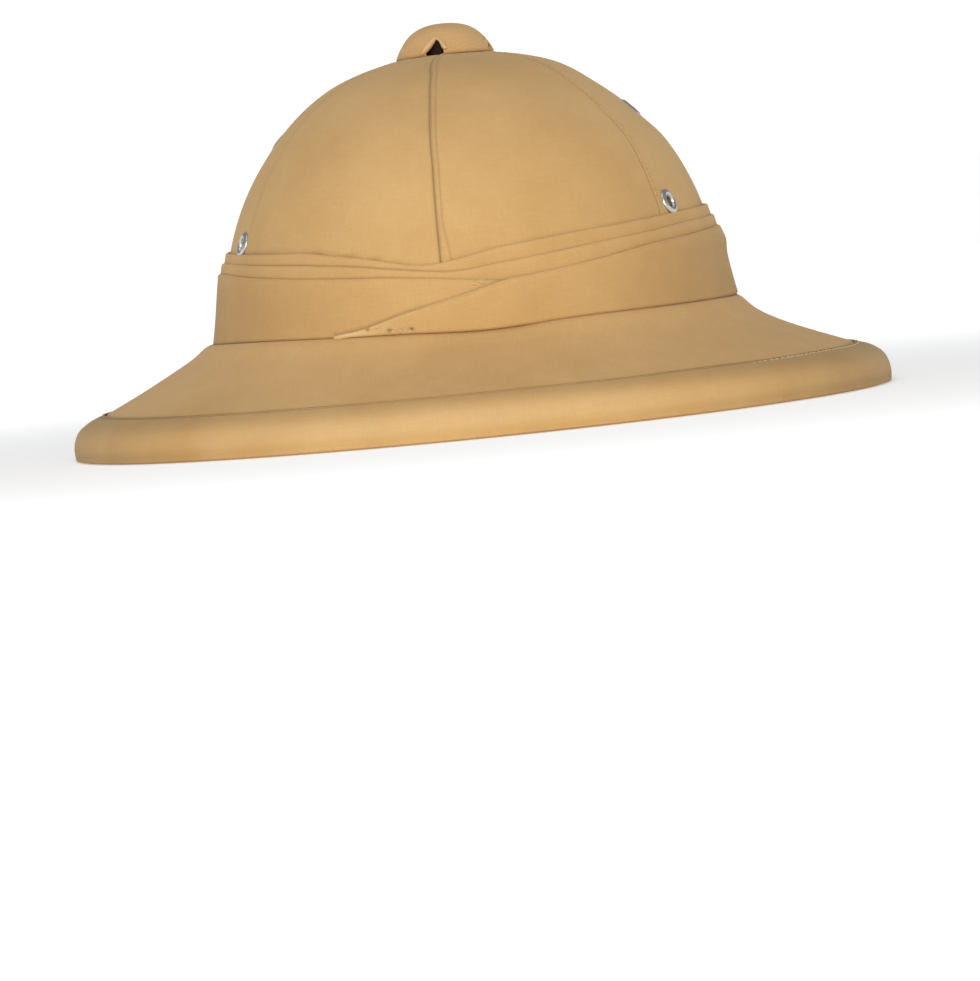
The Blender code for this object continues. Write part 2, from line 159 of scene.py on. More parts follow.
def relief(tree, height, strength, distance):
    """A bent normal from a height."""
    return add(tree, "Bump", Strength=strength, Distance=distance, Height=height).outputs[0]


def new_material(name):
    """An empty node material, its tree and the place on the object."""
    material = bpy.data.materials.new(name)
    material.use_nodes = True
    material.node_tree.nodes.clear()
    return material, material.node_tree, add(material.node_tree, "TexCoord").outputs["Object"]


def surface(tree, **inputs):
    """The last two nodes of a material."""
    add(tree, "OutputMaterial", Surface=add(tree, "BsdfPrincipled", **inputs).outputs[0])


# %% [markdown]
# ## Floor and light
# A plain pale floor runs far out behind the hat. A photo studio lights its white backdrop
# apart from the subject, and here the floor glows a little more with distance for the same
# reason: it meets a white horizon with no visible line. Higher up the room is dim and cool.
# One soft source stands in front of the hat, a little above it, and a weak one high up, so that
# the hat's two sides turn darker.

# %% Floor, world and lights
FLOOR_WHITE, FLOOR_HALF, FLOOR_DROP = "#F6F5F2", 60.0, 0.0002
GLOW_NEAR, GLOW_FAR = 0.35, 0.78
GLOW_START, GLOW_FULL = 0.16, 0.80
HORIZON_WHITE, ROOM_GREY = (1.06, 1.06, 1.06, 1.0), (0.27, 0.29, 0.32, 1.0)
HORIZON_TOP, ROOM_FROM, LIGHT_AIM = 0.07, 0.32, 0.07

corners = [(x * FLOOR_HALF, y * FLOOR_HALF, 0) for x, y in ((-1, -1), (1, -1), (1, 1), (-1, 1))]
floor_mesh = bpy.data.meshes.new("floor")
floor_mesh.from_pydata(corners, [], [(0, 1, 2, 3)])
floor = new_object("floor", floor_mesh)
floor.location.z = -FLOOR_DROP
paper, tree, ground = new_material("floor_white_paper")
away = add(tree, "VectorMath", {"operation": "LENGTH"}, Vector=ground).outputs["Value"]
glow = remap(tree, away, GLOW_START, GLOW_FULL, GLOW_NEAR, GLOW_FAR, "SMOOTHSTEP")
surface(tree, Base_Color=linear(FLOOR_WHITE), Roughness=1.0, Specular_IOR_Level=0.0,
        Emission_Color=linear(FLOOR_WHITE), Emission_Strength=glow)
floor_mesh.materials.append(paper)
floor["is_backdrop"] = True

world = bpy.data.worlds.new("white_room")
world.use_nodes = True
tree = world.node_tree
direction = add(tree, "SeparateXYZ", Vector=add(tree, "TexCoord").outputs["Generated"])
climb = remap(tree, direction.outputs["Z"], HORIZON_TOP, ROOM_FROM, ease="SMOOTHSTEP")
room = mixed(tree, climb, HORIZON_WHITE, ROOM_GREY)
tree.links.new(room, tree.nodes["Background"].inputs["Color"])
bpy.context.scene.world = world


def soft_light(name, azimuth, elevation, distance, size, power, colour):
    """A square area light aimed at the hat. Azimuth 0 is in front and 90 on the +X side."""
    data = bpy.data.lights.new(name, "AREA")
    data.size = size
    data.energy = power
    data.color = linear(colour)[:3]
    a, e = math.radians(azimuth), math.radians(elevation)
    back = Vector((math.sin(a) * math.cos(e), -math.cos(a) * math.cos(e), math.sin(e)))
    light = new_object(name, data)
    light.location = Vector((0, 0, LIGHT_AIM)) + back * distance
    light.rotation_euler = back.to_track_quat("Z", "Y").to_euler()


soft_light("key_front", azimuth=4, elevation=14, distance=2.2, size=0.8, power=28.7, colour="#FFF9F0")
soft_light("top", azimuth=-20, elevation=70, distance=2.0, size=1.2, power=7.0, colour="#EEF3FF")
bpy.context.scene.view_settings.view_transform = "Standard"

# %% [markdown]
# ## The skin of the hat
# Everything on this hat follows one skin: a domed crown and a sloping brim. The crown is a
# rounded oval that narrows upwards, and the brim is a table of rows from the foot of the crown
# to the rim. Each layer of cloth is this skin moved out by its own lift, so the layers can
# never cut through each other. The numbers are those of the solid model.

# %% The skin
CROWN_HALF_WIDTH, CROWN_HALF_LENGTH = 0.0920, 0.1150
CROWN_HEIGHT, BRIM_RISE, CROWN_ROUNDNESS = 0.0990, 0.0360, 2.2
SIDE_BRIM, FRONT_BRIM, UNEVEN = 0.0585, 0.0530, 0.00022
BRIM_SECTION = np.array((
    (0.000, -0.100), (0.030, -0.015), (0.095, 0.035), (0.225, 0.165), (0.480, 0.366),
    (0.795, 0.583), (0.900, 0.655), (0.967, 0.735), (1.000, 0.860), (1.000, 1.000)))
STITCH_ROW, LAST_ROW = 5, 9
BOARD_LIFT, BOARD = -0.0015, 0.0025


def eased(t):
    """0 to 1 with a soft start and a soft end."""
    t = np.clip(t, 0.0, 1.0)
    return t * t * (3 - 2 * t)


def ramp(x, start, length):
    """0 before start, 1 a length after it, and soft between."""
    return eased((x - start) / length)


def bump(x, centre, width):
    """A smooth hump, 1 at its centre."""
    return np.exp(-((x - centre) / width) ** 2)


def crown_share(share):
    """How wide the crown still is at a share of its height, and the other way round."""
    return np.clip(1.0 - np.clip(share, 0, 1) ** CROWN_ROUNDNESS, 0, 1) ** (1 / CROWN_ROUNDNESS)


LEFT_FLAT, RIGHT_FLAT, LEFT_PRESS, RIGHT_PRESS = 0.0012, 0.0011, 0.0016, -0.0008
LEFT_FLAT_END, SHOULDER_START, SHOULDER_END = (0.100, 0.022), (0.096, 0.012), (0.120, 0.010)
TOP_SWELL, SWELL_HEIGHT, SWELL_WIDTH = 0.0006, 0.1265, 0.0060


def sides(azimuth):
    """How much a place faces the left and the right, 0 to 1."""
    across = np.sin(azimuth)
    return np.clip(-across, 0, 1) ** 2, np.clip(across, 0, 1) ** 2


def wrapped(degrees):
    """The same direction, between -180 and 180 degrees."""
    return (degrees + 180) % 360 - 180


def crown_lean(azimuth, height):
    """How far the worn crown stands off its even oval."""
    left, right = sides(azimuth)
    shoulder = ramp(height, *SHOULDER_START) * (1 - ramp(height, *SHOULDER_END))
    hollow = LEFT_FLAT * left * (1 - ramp(height, *LEFT_FLAT_END)) + RIGHT_FLAT * right * shoulder
    return TOP_SWELL * bump(height, SWELL_HEIGHT, SWELL_WIDTH) - hollow


def crown_skin(azimuth, height, lift=0.0):
    """Points on the crown, for arrays of azimuth (radians), height and lift (metres)."""
    azimuth, height, lift = np.broadcast_arrays(azimuth, height, lift)
    lift = lift + crown_lean(azimuth, height)
    share = np.clip((height - BRIM_RISE) / CROWN_HEIGHT, 0, 1)
    wide = crown_share(share)
    x, y = wide * np.sin(azimuth), -wide * np.cos(azimuth)
    point = np.stack([x * CROWN_HALF_WIDTH, y * CROWN_HALF_LENGTH, height], -1)
    spread = wide ** (CROWN_ROUNDNESS - 2)
    normal = np.stack([spread * x / CROWN_HALF_WIDTH, spread * y / CROWN_HALF_LENGTH,
                       share ** (CROWN_ROUNDNESS - 1) / CROWN_HEIGHT], -1)
    normal /= np.linalg.norm(normal, axis=-1, keepdims=True)
    return point + normal * lift[..., None]


def crown_out(azimuth, height):
    """The direction straight off the crown's skin, one metre long."""
    return crown_skin(azimuth, height, 1.0) - crown_skin(azimuth, height)


def crown_reach(azimuth, height):
    """Metres along the crown for one radian of azimuth."""
    wide = crown_share((height - BRIM_RISE) / CROWN_HEIGHT)
    return wide * np.hypot(CROWN_HALF_WIDTH * np.cos(azimuth), CROWN_HALF_LENGTH * np.sin(azimuth))


def brim_ring(place):
    """Half width, half length and height of the brim at a row number, smooth between rows."""
    place = np.asarray(place, float)
    first = np.clip(np.floor(place).astype(int), 0, LAST_ROW - 1)
    t = (place - first)[..., None]
    a, b = BRIM_SECTION[np.maximum(first - 1, 0)], BRIM_SECTION[first]
    c, d = BRIM_SECTION[first + 1], BRIM_SECTION[np.minimum(first + 2, LAST_ROW)]
    row = 0.5 * (2 * b + (c - a) * t + (2 * a - 5 * b + 4 * c - d) * t ** 2
                 + (3 * b - a - 3 * c + d) * t ** 3)
    return (CROWN_HALF_WIDTH + SIDE_BRIM * row[..., 0],
            CROWN_HALF_LENGTH + FRONT_BRIM * row[..., 0], BRIM_RISE * (1 - row[..., 1]))


FOOT_HEIGHT, FOOT_GAP, ROOT_PLACE, ROOT_WIDTH = 0.0372, 0.0005, 1.9, 0.9
FOOT_DIP, FOOT_RISE, PRESS_PLACE, PRESS_WIDTH = 0.0014, 0.0011, 3.4, 1.25


def foot_height(azimuth):
    """Height of the band's foot: it dips in front and rises a little at the front left."""
    degrees = wrapped(np.degrees(azimuth))
    return FOOT_HEIGHT - FOOT_DIP * bump(degrees, 8.0, 14.0) + FOOT_RISE * bump(degrees, -48.0, 26.0)


def brim_lean(azimuth, place):
    """How far the brim stands off its even section: pressed sides, and a fillet at its root
    that comes up to just under the band's foot."""
    left, right = sides(azimuth)
    pressed = (LEFT_PRESS * left + RIGHT_PRESS * right) * bump(place, PRESS_PLACE, PRESS_WIDTH)
    root = foot_height(azimuth) - FOOT_GAP - brim_ring(ROOT_PLACE)[2]
    return pressed + np.maximum(root, 0) * bump(place, ROOT_PLACE, ROOT_WIDTH)


def brim_skin(azimuth, place, lift=0.0):
    """Points on the brim, for arrays of azimuth, row number and lift."""
    azimuth, place, lift = np.broadcast_arrays(azimuth, place, lift)
    lift = lift + brim_lean(azimuth, place)
    sin, cos = np.sin(azimuth), np.cos(azimuth)
    wide, long, height = brim_ring(place)
    inner, outer = brim_ring(np.maximum(place - 0.01, 0)), brim_ring(np.minimum(place + 0.01, LAST_ROW))
    along = np.stack([(outer[0] - inner[0]) * sin, -(outer[1] - inner[1]) * cos,
                      outer[2] - inner[2]], -1)
    around = np.stack([wide * cos, long * sin, np.zeros_like(sin)], -1)
    normal = np.cross(along, around)
    normal /= np.linalg.norm(normal, axis=-1, keepdims=True)
    return np.stack([wide * sin, -long * cos, height], -1) + normal * lift[..., None]


def uneven(azimuth, along, seed, waves=7):
    """Hand-made unevenness between -1 and 1: a few slow waves that close round the hat."""
    draw = np.random.default_rng(seed)
    total = 0.0
    for _ in range(waves):
        turns, rate = draw.integers(2, 15), draw.uniform(-90, 90)
        size = draw.uniform(0.5, 1)
        total = total + size * np.sin(turns * azimuth + rate * along + draw.uniform(0, 6.3))
    return total / waves


# %% [markdown]
# ## Making a cloth mesh
# A cloth layer is a grid of points, rows upwards and columns round the hat. One function
# turns the grid into a mesh and lays a flat map over it in real metres, so the weave has the
# same thread spacing everywhere. A second value on each point, called wear, says
# where the cloth is rubbed pale on an edge or lit by a painted highlight (above 0), and where
# it is darkened by painted shade in seams, folds and hollows and towards the hat's sides, and
# in a few dark worn spots (below 0).

# %% Mesh helpers


def finish_piece(name, mesh, material, replaces=(), thickness=0.0):
    """Makes the object, gives it a material and a thickness, and sets it on its body."""
    mesh.materials.append(material)
    mesh.shade_smooth()
    piece = new_object(name, mesh)
    if thickness:
        wall = piece.modifiers.new("cloth", "SOLIDIFY")
        wall.thickness, wall.offset = thickness, -1.0
    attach(piece, "root")
    if replaces:
        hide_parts(*replaces)
    return piece


def set_wear(mesh, wear):
    """Gives every point of a mesh its wear: rubbed edges, painted highlights and painted shade."""
    attribute = mesh.attributes.new("wear", "FLOAT", "POINT")
    attribute.data.foreach_set("value", np.ascontiguousarray(wear, np.float32).reshape(-1))


def joined(grid, closed=True, tube=False):
    """A grid with its first column again after its last, its first row again, or both."""
    if closed:
        grid = np.concatenate([grid, grid[:, :1]], 1)
    return np.concatenate([grid, grid[:1]], 0) if tube else grid


def grid_mesh(name, points, flat_map, closed=False, wear=0.0, tube=False):
    """A mesh of quads through points[row, column]. A closed grid joins its last column to its
    first, and a tube its last row to its first. flat_map has one more column or row there."""
    size = points.shape[:2]
    index = joined(np.arange(size[0] * size[1]).reshape(size), closed, tube)

    def corners(grid):
        return np.stack([grid[:-1, :-1], grid[:-1, 1:], grid[1:, 1:], grid[1:, :-1]], 2)

    mesh = bpy.data.meshes.new(name)
    mesh.from_pydata(points.reshape(-1, 3).tolist(), [], corners(index).reshape(-1, 4).tolist())
    layer = mesh.uv_layers.new(name="flat_metres")
    layer.data.foreach_set("uv", corners(flat_map).reshape(-1).astype(np.float32))
    set_wear(mesh, np.broadcast_to(wear, size))
    return mesh


def flat_lengths(points, closed=False, tube=False):
    """The flat map of a grid that goes round: metres along its middle row, and up its rows."""
    points = joined(points, closed, tube)
    middle = points[len(points) // 2]
    u = np.concatenate([[0], np.cumsum(np.linalg.norm(np.diff(middle, axis=0), axis=1))])
    v = np.concatenate([np.zeros((1, points.shape[1])),
                        np.cumsum(np.linalg.norm(np.diff(points, axis=0), axis=2), 0)], 0)
    return np.stack([np.broadcast_to(u, v.shape), v], -1)


def lay(name, points, flat, material, slot, replaces, thickness=0.0, **grid):
    """A grid as a finished piece."""
    return finish_piece(name, grid_mesh(name, points, flat, **grid), material, replaces, thickness)


def lay_strip(name, points, material, slot, replaces, thickness, hem, lap, rests_on, **grid):
    """A folded strip as a finished piece. hem is what is turned in across the strip, and lap what
    overlaps along it; neither is used."""
    flat = flat_lengths(points, grid.get("closed", False))
    piece = lay(name, points, flat, material, slot, replaces, thickness, **grid)


# %% [markdown]
# ## Cotton twill
# The cloth is cotton twill: each thread passes over two and under two, one step on in each
# row, and that gives fine slanting ribs. It is matt, with a faint pale sheen from loose
# fibres. Real ribs are half a millimetre apart, which is one pixel here, so they are drawn
# a little under a millimetre apart to show at all. Uneven dye and slubs in the thread come
# from noise. The wear value pales rubbed edges and paints highlights on the
# notch lips, and it darkens the cloth with painted shade in seams, folds and hollows and
# towards the hat's sides, and in a few worn spots.

# %% Twill material
RIB_SPACING, RIB_DEPTH, DYE_CLOUDS = 0.00085, 0.00006, 26.0
SHEEN_COLOUR = "#F3DDB6"


def twill(name, base, deep, pale, rib_turn):
    """Matt cotton twill. rib_turn is the slant of the ribs in degrees on the flat cloth."""
    material, tree, place = new_material(name)
    flat = add(tree, "UVMap", {"uv_map": "flat_metres"}).outputs["UV"]
    slanted = stretch(tree, flat, Rotation=(0, 0, math.radians(rib_turn)))
    ribs = add(tree, "TexWave", {"wave_type": "BANDS", "bands_direction": "X"}, Vector=slanted,
               Scale=math.pi / 10 / RIB_SPACING, Distortion=0.7, Detail=2.0, Detail_Scale=0.35)
    yarn = noise(tree, stretch(tree, flat, Scale=(1500.0, 160.0, 1.0)), Detail=3.0)
    pick = noise(tree, stretch(tree, flat, Scale=(120.0, 1500.0, 1.0)), Detail=3.0)
    dye = noise(tree, place, DYE_CLOUDS, Detail=4.0, Roughness=0.55)
    threads = add(tree, "Math", {"operation": "ADD"}, n0=yarn, n1=pick)
    cloth = add(tree, "Math", {"operation": "MULTIPLY_ADD"}, n0=ribs.outputs["Fac"], n1=0.45,
                n2=threads.outputs[0]).outputs[0]
    dyed = mixed(tree, remap(tree, dye, 0.35, 0.65), linear(base), linear(deep))
    wear = add(tree, "Attribute", {"attribute_name": "wear"}).outputs["Fac"]
    # Where wear is above 0 the colour turns pale, for rubbed edges and painted highlights; below 0 it
    # darkens, mostly as painted shade, and in a few worn spots.
    rubbed_and_highlit = mixed(tree, remap(tree, wear), dyed, linear(pale))
    darkening = remap(tree, remap(tree, wear, 0.0, -1.0), to_low=1.0, to_high=0.42)
    shade = add(tree, "Math", {"operation": "MULTIPLY"}, n0=darkening,
                n1=remap(tree, cloth, 0.6, 1.9, 0.91, 1.07))
    colour = add(tree, "VectorMath", {"operation": "SCALE"}, Vector=rubbed_and_highlit, Scale=shade.outputs[0])
    surface(tree, Base_Color=colour.outputs[0], Roughness=remap(tree, dye, to_low=0.84, to_high=0.95),
            IOR=1.47, Specular_IOR_Level=0.25, Sheen_Weight=0.18, Sheen_Roughness=0.55,
            Sheen_Tint=linear(SHEEN_COLOUR), Normal=relief(tree, cloth, 0.55, RIB_DEPTH))
    return material


crown_twill = twill("crown_cotton_twill", "#C6A06A", "#BE9760", "#DCBC8A", rib_turn=55)
brim_twill = twill("brim_cotton_twill", "#C7A06A", "#BF9761", "#DCBA8A", rib_turn=40)
binding_twill = twill("binding_cotton_twill", "#C59F69", "#BD955E", "#DBBC8C", rib_turn=48)
band_twill = twill("puggaree_cotton_twill", "#C49D67", "#BC945D", "#DBBB8A", rib_turn=62)
cap_twill = twill("cap_cotton_twill", "#C8A270", "#BF9865", "#DDBE90", rib_turn=50)
print("rib spacing", RIB_SPACING * 1000, "mm")

# %% [markdown]
# ## Pressed board
# Under the cloth is the shell that gives the hat its shape: pith or paper board, pressed while
# damp over a form and dried. It shows only inside and below, a dull brown-grey surface with
# short fibres. It is one wall, built as a tube of rows that runs up the outside, over the edge
# of the air hole and down the inside, so that it is closed. That edge turns up as a short
# neck. The neck and the top rows round it are painted black: painted shade inside the
# ventilator. Holes for the eyelets are drilled afterwards.

# %% Board shell


def fibrous_board(name):
    """Pressed fibre board: matt, mottled, with short fibres, and painted black as shade where wear is below
    0.
    """
    material, tree, place = new_material(name)
    fibre = noise(tree, stretch(tree, place, Scale=(420.0, 160.0, 260.0)), Detail=5.0, Distortion=1.4)
    cloud = noise(tree, place, 55.0, Detail=4.0)
    both = add(tree, "Math", {"operation": "ADD"}, n0=fibre, n1=cloud)
    colour = mixed(tree, remap(tree, both.outputs[0], 0.7, 1.3), linear("#A38F70"), linear("#BFAD8D"))
    wear = add(tree, "Attribute", {"attribute_name": "wear"}).outputs["Fac"]
    # Painted shade: the board turns near black where wear is below 0.
    shaded_colour = mixed(tree, remap(tree, wear, -1.0, 0.0), linear("#2A1D18"), colour)
    surface(tree, Base_Color=shaded_colour, Roughness=0.92, IOR=1.5, Specular_IOR_Level=0.2,
            Normal=relief(tree, fibre, 0.6, 0.0003))
    return material


pressed_board = fibrous_board("pressed_pith_board")
PANEL_TOP_SHARE, LIP_FOOT, BOARD_FOOT = 0.130, 0.0015, 0.0410
NECK_INSIDE_SHARE, NECK_OUTSIDE_SHARE, NECK_TOP, NECK_ROWS = 0.098, 0.118, 0.1403, 4
ROUND = 240
azimuths = np.arange(ROUND) * 2 * np.pi / ROUND


def crown_heights(low, top_share, count):
    """Heights up the crown, closer together near its top, where it turns over."""
    top = BRIM_RISE + CROWN_HEIGHT * crown_share(top_share)
    return low + (top - low) * np.sin(np.linspace(0, np.pi / 2, count)) ** 0.9


def brim_place_at(height):
    """The row number where the rim's lower part reaches a height."""
    rows = np.linspace(STITCH_ROW, LAST_ROW, 4001)
    return float(np.interp(-height, -brim_ring(rows)[2], rows))


def shell_face(lift, vent_share):
    """One face of the board, from the lip up to the vent and up its neck, and its painted shade."""
    places = np.linspace(brim_place_at(LIP_FOOT), 0.15, 44)
    heights = crown_heights(BOARD_FOOT, vent_share, 34)
    brim = brim_skin(azimuths[None], places[:, None], lift)
    dome = crown_skin(azimuths[None], heights[:, None], lift)
    neck = np.repeat(dome[-1:], NECK_ROWS, 0)
    neck[..., 2] += np.linspace(0.25, 1.0, NECK_ROWS)[:, None] * (NECK_TOP - neck[..., 2])
    # The neck and the three dome rows under it are -1: painted shade, black inside the vent.
    neck_shade = np.concatenate([np.zeros(len(brim) + len(dome) - 3), np.full(len(neck) + 3, -1.0)])
    return np.concatenate([brim, dome, neck], 0), neck_shade


inner_points, inner_shade = shell_face(BOARD_LIFT - BOARD, NECK_INSIDE_SHARE)
outer_points, outer_shade = shell_face(BOARD_LIFT, NECK_OUTSIDE_SHARE)
board_points = np.concatenate([outer_points, inner_points[::-1]], 0)
board_shade = np.concatenate([outer_shade, inner_shade[::-1]])[:, None]
board = lay("board_shell", board_points, flat_lengths(board_points, True, True), pressed_board,
            "pressed_board", ["shell"], closed=True, tube=True, wear=board_shade)
print("board shell:", len(board.data.polygons), "faces")

# %% [markdown]
# ## Eyelet places
# Three metal eyelets let air through each side of the crown, two low and one high. Two low
# ones and a sliver of a high one show in the photograph; the rest repeat them. They sit where
# the solid model's eyelets sit, so their places are read from its boxes, and the low ones are
# let down a little to the edge of the band. Each is pressed slightly into the cloth.

# %% Find the eyelets and make drills
EYELET_HOLE, DRILL_DEPTH, SEEK_STEPS = 0.0035, 0.03, 20
LOW_PRESS, HIGH_PRESS, EYELET_DROP, LOW_EYELETS = 0.0006, 0.0013, 0.0016, 0.100
eyelets = []
for number in range(1, 7):
    low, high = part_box(f"eyelet_{number}")
    middle = (low + high) / 2
    azimuth = math.atan2(middle.x / CROWN_HALF_WIDTH, -middle.y / CROWN_HALF_LENGTH)
    height = middle.z
    for _ in range(SEEK_STEPS):
        out = crown_out(azimuth, height)
        miss = float(np.dot(np.array(middle) - crown_skin(azimuth, height), out))
        on_skin = np.array(middle) - out * miss
        azimuth = math.atan2(on_skin[0] / CROWN_HALF_WIDTH, -on_skin[1] / CROWN_HALF_LENGTH)
        height = float(on_skin[2])
    is_low = height < LOW_EYELETS
    height -= EYELET_DROP * is_low
    seat = crown_skin(azimuth, height, -LOW_PRESS if is_low else -HIGH_PRESS)
    eyelets.append((Vector(seat), Vector(out)))
    print(f"eyelet {number}: azimuth {math.degrees(azimuth):.1f}, height {height * 1000:.1f} mm")


def standing(seat, out):
    """The matrix that sets a thing on a seat with its own z axis outwards."""
    return Matrix.Translation(seat) @ out.to_track_quat("Z", "Y").to_matrix().to_4x4()


def drill(radius, depth, segments, matrix):
    """A round drill, as an object that cut_out uses up."""
    mesh = bpy.data.meshes.new("drill")
    shape = bmesh.new()
    bmesh.ops.create_cone(shape, cap_ends=True, segments=segments, radius1=radius, radius2=radius,
                          depth=depth)
    shape.to_mesh(mesh)
    shape.free()
    item = new_object("drill", mesh)
    item.matrix_world = matrix
    return item


def cut_out(piece, drills):
    """Cuts drills out of a piece, applies every modifier it has and removes the drills."""
    for item in drills:
        hole = piece.modifiers.new("hole", "BOOLEAN")
        hole.operation, hole.solver, hole.object = "DIFFERENCE", "EXACT", item
    graph = bpy.context.evaluated_depsgraph_get()
    made = bpy.data.meshes.new_from_object(piece.evaluated_get(graph))
    piece.modifiers.clear()
    piece.data = made
    for item in drills:
        bpy.data.objects.remove(item)


def drilled(piece, numbers):
    """Cuts the holes of some eyelets through a piece."""
    cut_out(piece, [drill(EYELET_HOLE, DRILL_DEPTH, 32, standing(*eyelets[k])) for k in numbers])


drilled(board, range(6))

# %% [markdown]
# ## Heights of the band's folds
# A long scarf, the puggaree, is wound round the foot of the crown over two narrow pleats. The
# heights of its folded edges are read off the front of the real hat, as shares of the band's
# height, and the hidden back goes on evenly. They come first because the thin line of shade
# that a fold throws on the cloth above it is painted into that cloth, and each layer below
# has to know where.

# %% Fold edges
PUGGAREE_BASE, PUGGAREE_HEIGHT = 0.0374, 0.0332
UPPER_PLEAT_EDGE = ((-90, 0.990), (-63, 0.955), (-35, 0.920), (-18, 0.813), (-6, 0.690), (0, 0.700),
                    (12, 0.810), (30, 0.880), (63, 0.955), (90, 0.995), (180, 1.000), (270, 0.990))
MIDDLE_PLEAT_EDGE = ((-90, 0.862), (-69, 0.855), (-35, 0.786), (-20, 0.729), (-3, 0.615), (3, 0.590),
                     (12, 0.645), (34, 0.732), (65, 0.834), (90, 0.867), (180, 0.865), (270, 0.862))
WRAP_EDGE = ((-23, 0.045), (-17, 0.095), (-9, 0.214), (1, 0.313), (13, 0.464), (30, 0.540), (49, 0.649),
             (83, 0.735), (180, 0.745), (291, 0.744), (326, 0.636), (348, 0.584), (373, 0.455))
SHADE_RISE, SHADE_WIDTH = 0.00030, 0.00060
FRONT_SAG, SAG_MIDDLE, SAG_WIDTH = 0.0012, 12.0, 48.0


def edge_height(table, degrees):
    """Height of a fold's edge, smooth through the table's rows."""
    turn, share = np.array(table, float).T
    sag = FRONT_SAG * bump(wrapped(degrees), SAG_MIDDLE, SAG_WIDTH)
    return PUGGAREE_BASE + PUGGAREE_HEIGHT * np.interp(degrees, turn, share) - sag


def closed_edge(table, azimuth):
    """The same for an edge that closes on itself, eased at the table's corners."""
    total = 0.0
    for shift in (-3.0, -1.5, 0.0, 1.5, 3.0):
        degrees = (np.degrees(azimuth) + shift + 90) % 360 - 90
        total = total + edge_height(table, degrees)
    return total / 5


def wrap_top(azimuth):
    """Height of the wrap's highest layer."""
    degrees = (np.degrees(azimuth) + 23) % 360 - 23
    again = np.where(degrees + 360 <= 373, edge_height(WRAP_EDGE, degrees + 360), 0)
    return np.maximum(edge_height(WRAP_EDGE, degrees), again)


def flat_part(azimuth):
    """1 at the front right, where the folds lie flat, and 0 elsewhere."""
    degrees = wrapped(np.degrees(azimuth))
    return ramp(degrees, -6, 16) * (1 - ramp(degrees, 70, 16))


def shade_over(azimuth, heights, edge, strength=0.5):
    """A painted shadow: the dark line on a layer just above the folded edge that lies on it."""
    return -strength * (1 - 0.8 * flat_part(azimuth)) * bump(heights, edge + SHADE_RISE, SHADE_WIDTH)


# %% [markdown]
# ## Crown panels
# The crown's cloth is six tapered gores sewn together. At a seam both edges turn in, so a
# fine groove shows. The spare cloth is pressed to one side and held by a second row of
# stitches, which makes a low flat ridge beside the groove. All of that is only a lift of
# the skin that depends on the distance from the seam, so it goes straight into the grid. Two
# seams wander a little, as hand-fed seams do.

# %% Six gores
GORES, COVER_CLOTH, HEM, LEAF_FILL = 6, 0.0008, 0.012, 0.62
SEAM_STRENGTH = (1.0, 0.45, 0.6, 0.6, 0.6, 0.6)
TOPSTITCH, TOPSTITCH_FLARE, SHADOW_FADES_AT, SHADOW_FADE_WIDTH = 0.0021, 0.0016, 354.0, 7.0
SEAM_DRIFT = {0: ((0.060, -0.5), (0.094, -1.2), (0.104, -1.8), (0.116, -2.3), (0.126, -3.4), (0.135, -8.0)),
              1: ((0.060, -2.0), (0.082, -1.7), (0.100, -0.5), (0.130, 0.0))}
gore_rows = crown_heights(0.0400, PANEL_TOP_SHARE, 76)


def seam_azimuth(number, height):
    """Azimuth of a seam at a height. Seam 0 is in front."""
    heights, degrees = np.array(SEAM_DRIFT.get(number % GORES, ((0, 0), (1, 0)))).T
    return np.radians(60.0 * number + np.interp(height, heights, degrees))


def topstitch_offset(height):
    """Distance of the second stitch row from its seam, wider at the foot."""
    return TOPSTITCH + TOPSTITCH_FLARE * (1 - ramp(height, 0.060, 0.016))


def seam_lift(left, right, height, left_strength, right_strength):
    """Lift and wear of a gore at a distance from its left and its right seam. Its
    darkening is painted shade in each seam's groove and along the second stitch row.
    """
    second = topstitch_offset(height)
    ridge = 0.00020 * (ramp(left, 0, 0.0010) - ramp(left, second - 0.0002, 0.0009))
    spare = 0.00014 * (1 - ramp(left, 0.0040, 0.0030))
    stitched = -0.00018 * bump(left, second, 0.00040)
    lift = left_strength * (ridge + stitched) + spare
    # Painted shade along the pressed second stitch row, and below in the groove of each seam.
    wear = -0.30 * left_strength * bump(left, second, 0.0004)
    for away, strength, dark in ((left, left_strength, 0.0008), (right, right_strength, 0.0006)):
        lift = lift - 0.00017 * strength * (1 - ramp(away, 0, 0.0010))
        wear = wear - 0.50 * strength * bump(away, 0.0, dark)
    return lift, wear


for number in range(1, GORES + 1):
    height = gore_rows[:, None]
    start, end = seam_azimuth(number - 1, height), seam_azimuth(number, height)
    fine = np.concatenate([np.linspace(0, 0.12, 26)[:-1], np.linspace(0.12, 0.90, 40)[:-1],
                           np.linspace(0.90, 1.0, 14)])
    azimuth = start + (end - start) * fine[None]
    reach = crown_reach(azimuth, height)
    left, right = (azimuth - start) * reach, (end - azimuth) * reach
    lift, wear = seam_lift(left, right, height, SEAM_STRENGTH[number - 1], SEAM_STRENGTH[number % GORES])
    lift = lift + UNEVEN * uneven(azimuth, height, 40)
    # Painted shadow of the upper pleat's edge on the gore, weaker near 354 degrees.
    shadow_share = 1 - 0.8 * bump(np.degrees(azimuth) % 360, SHADOW_FADES_AT, SHADOW_FADE_WIDTH)
    wear = wear + shadow_share * shade_over(azimuth, height, closed_edge(UPPER_PLEAT_EDGE, azimuth), 0.4)
    points = crown_skin(azimuth, height, lift)
    up_gore = flat_lengths(points)[..., 1]
    across = (azimuth - (start + end) / 2) * reach
    gore = lay(f"crown_gore_{number}", points, np.stack([across, up_gore], -1), crown_twill,
               "crown_twill", [f"crown_panel_{number}"], COVER_CLOTH, wear=wear)
    if number in (2, 5):
        drilled(gore, range(3) if number == 2 else range(3, 6))

# %% [markdown]
# ## Brim cover
# One ring of cloth covers the top of the brim, from under the band to the binding. It was
# stretched on damp and glued, so it is smooth, with only a slight unevenness in the board.

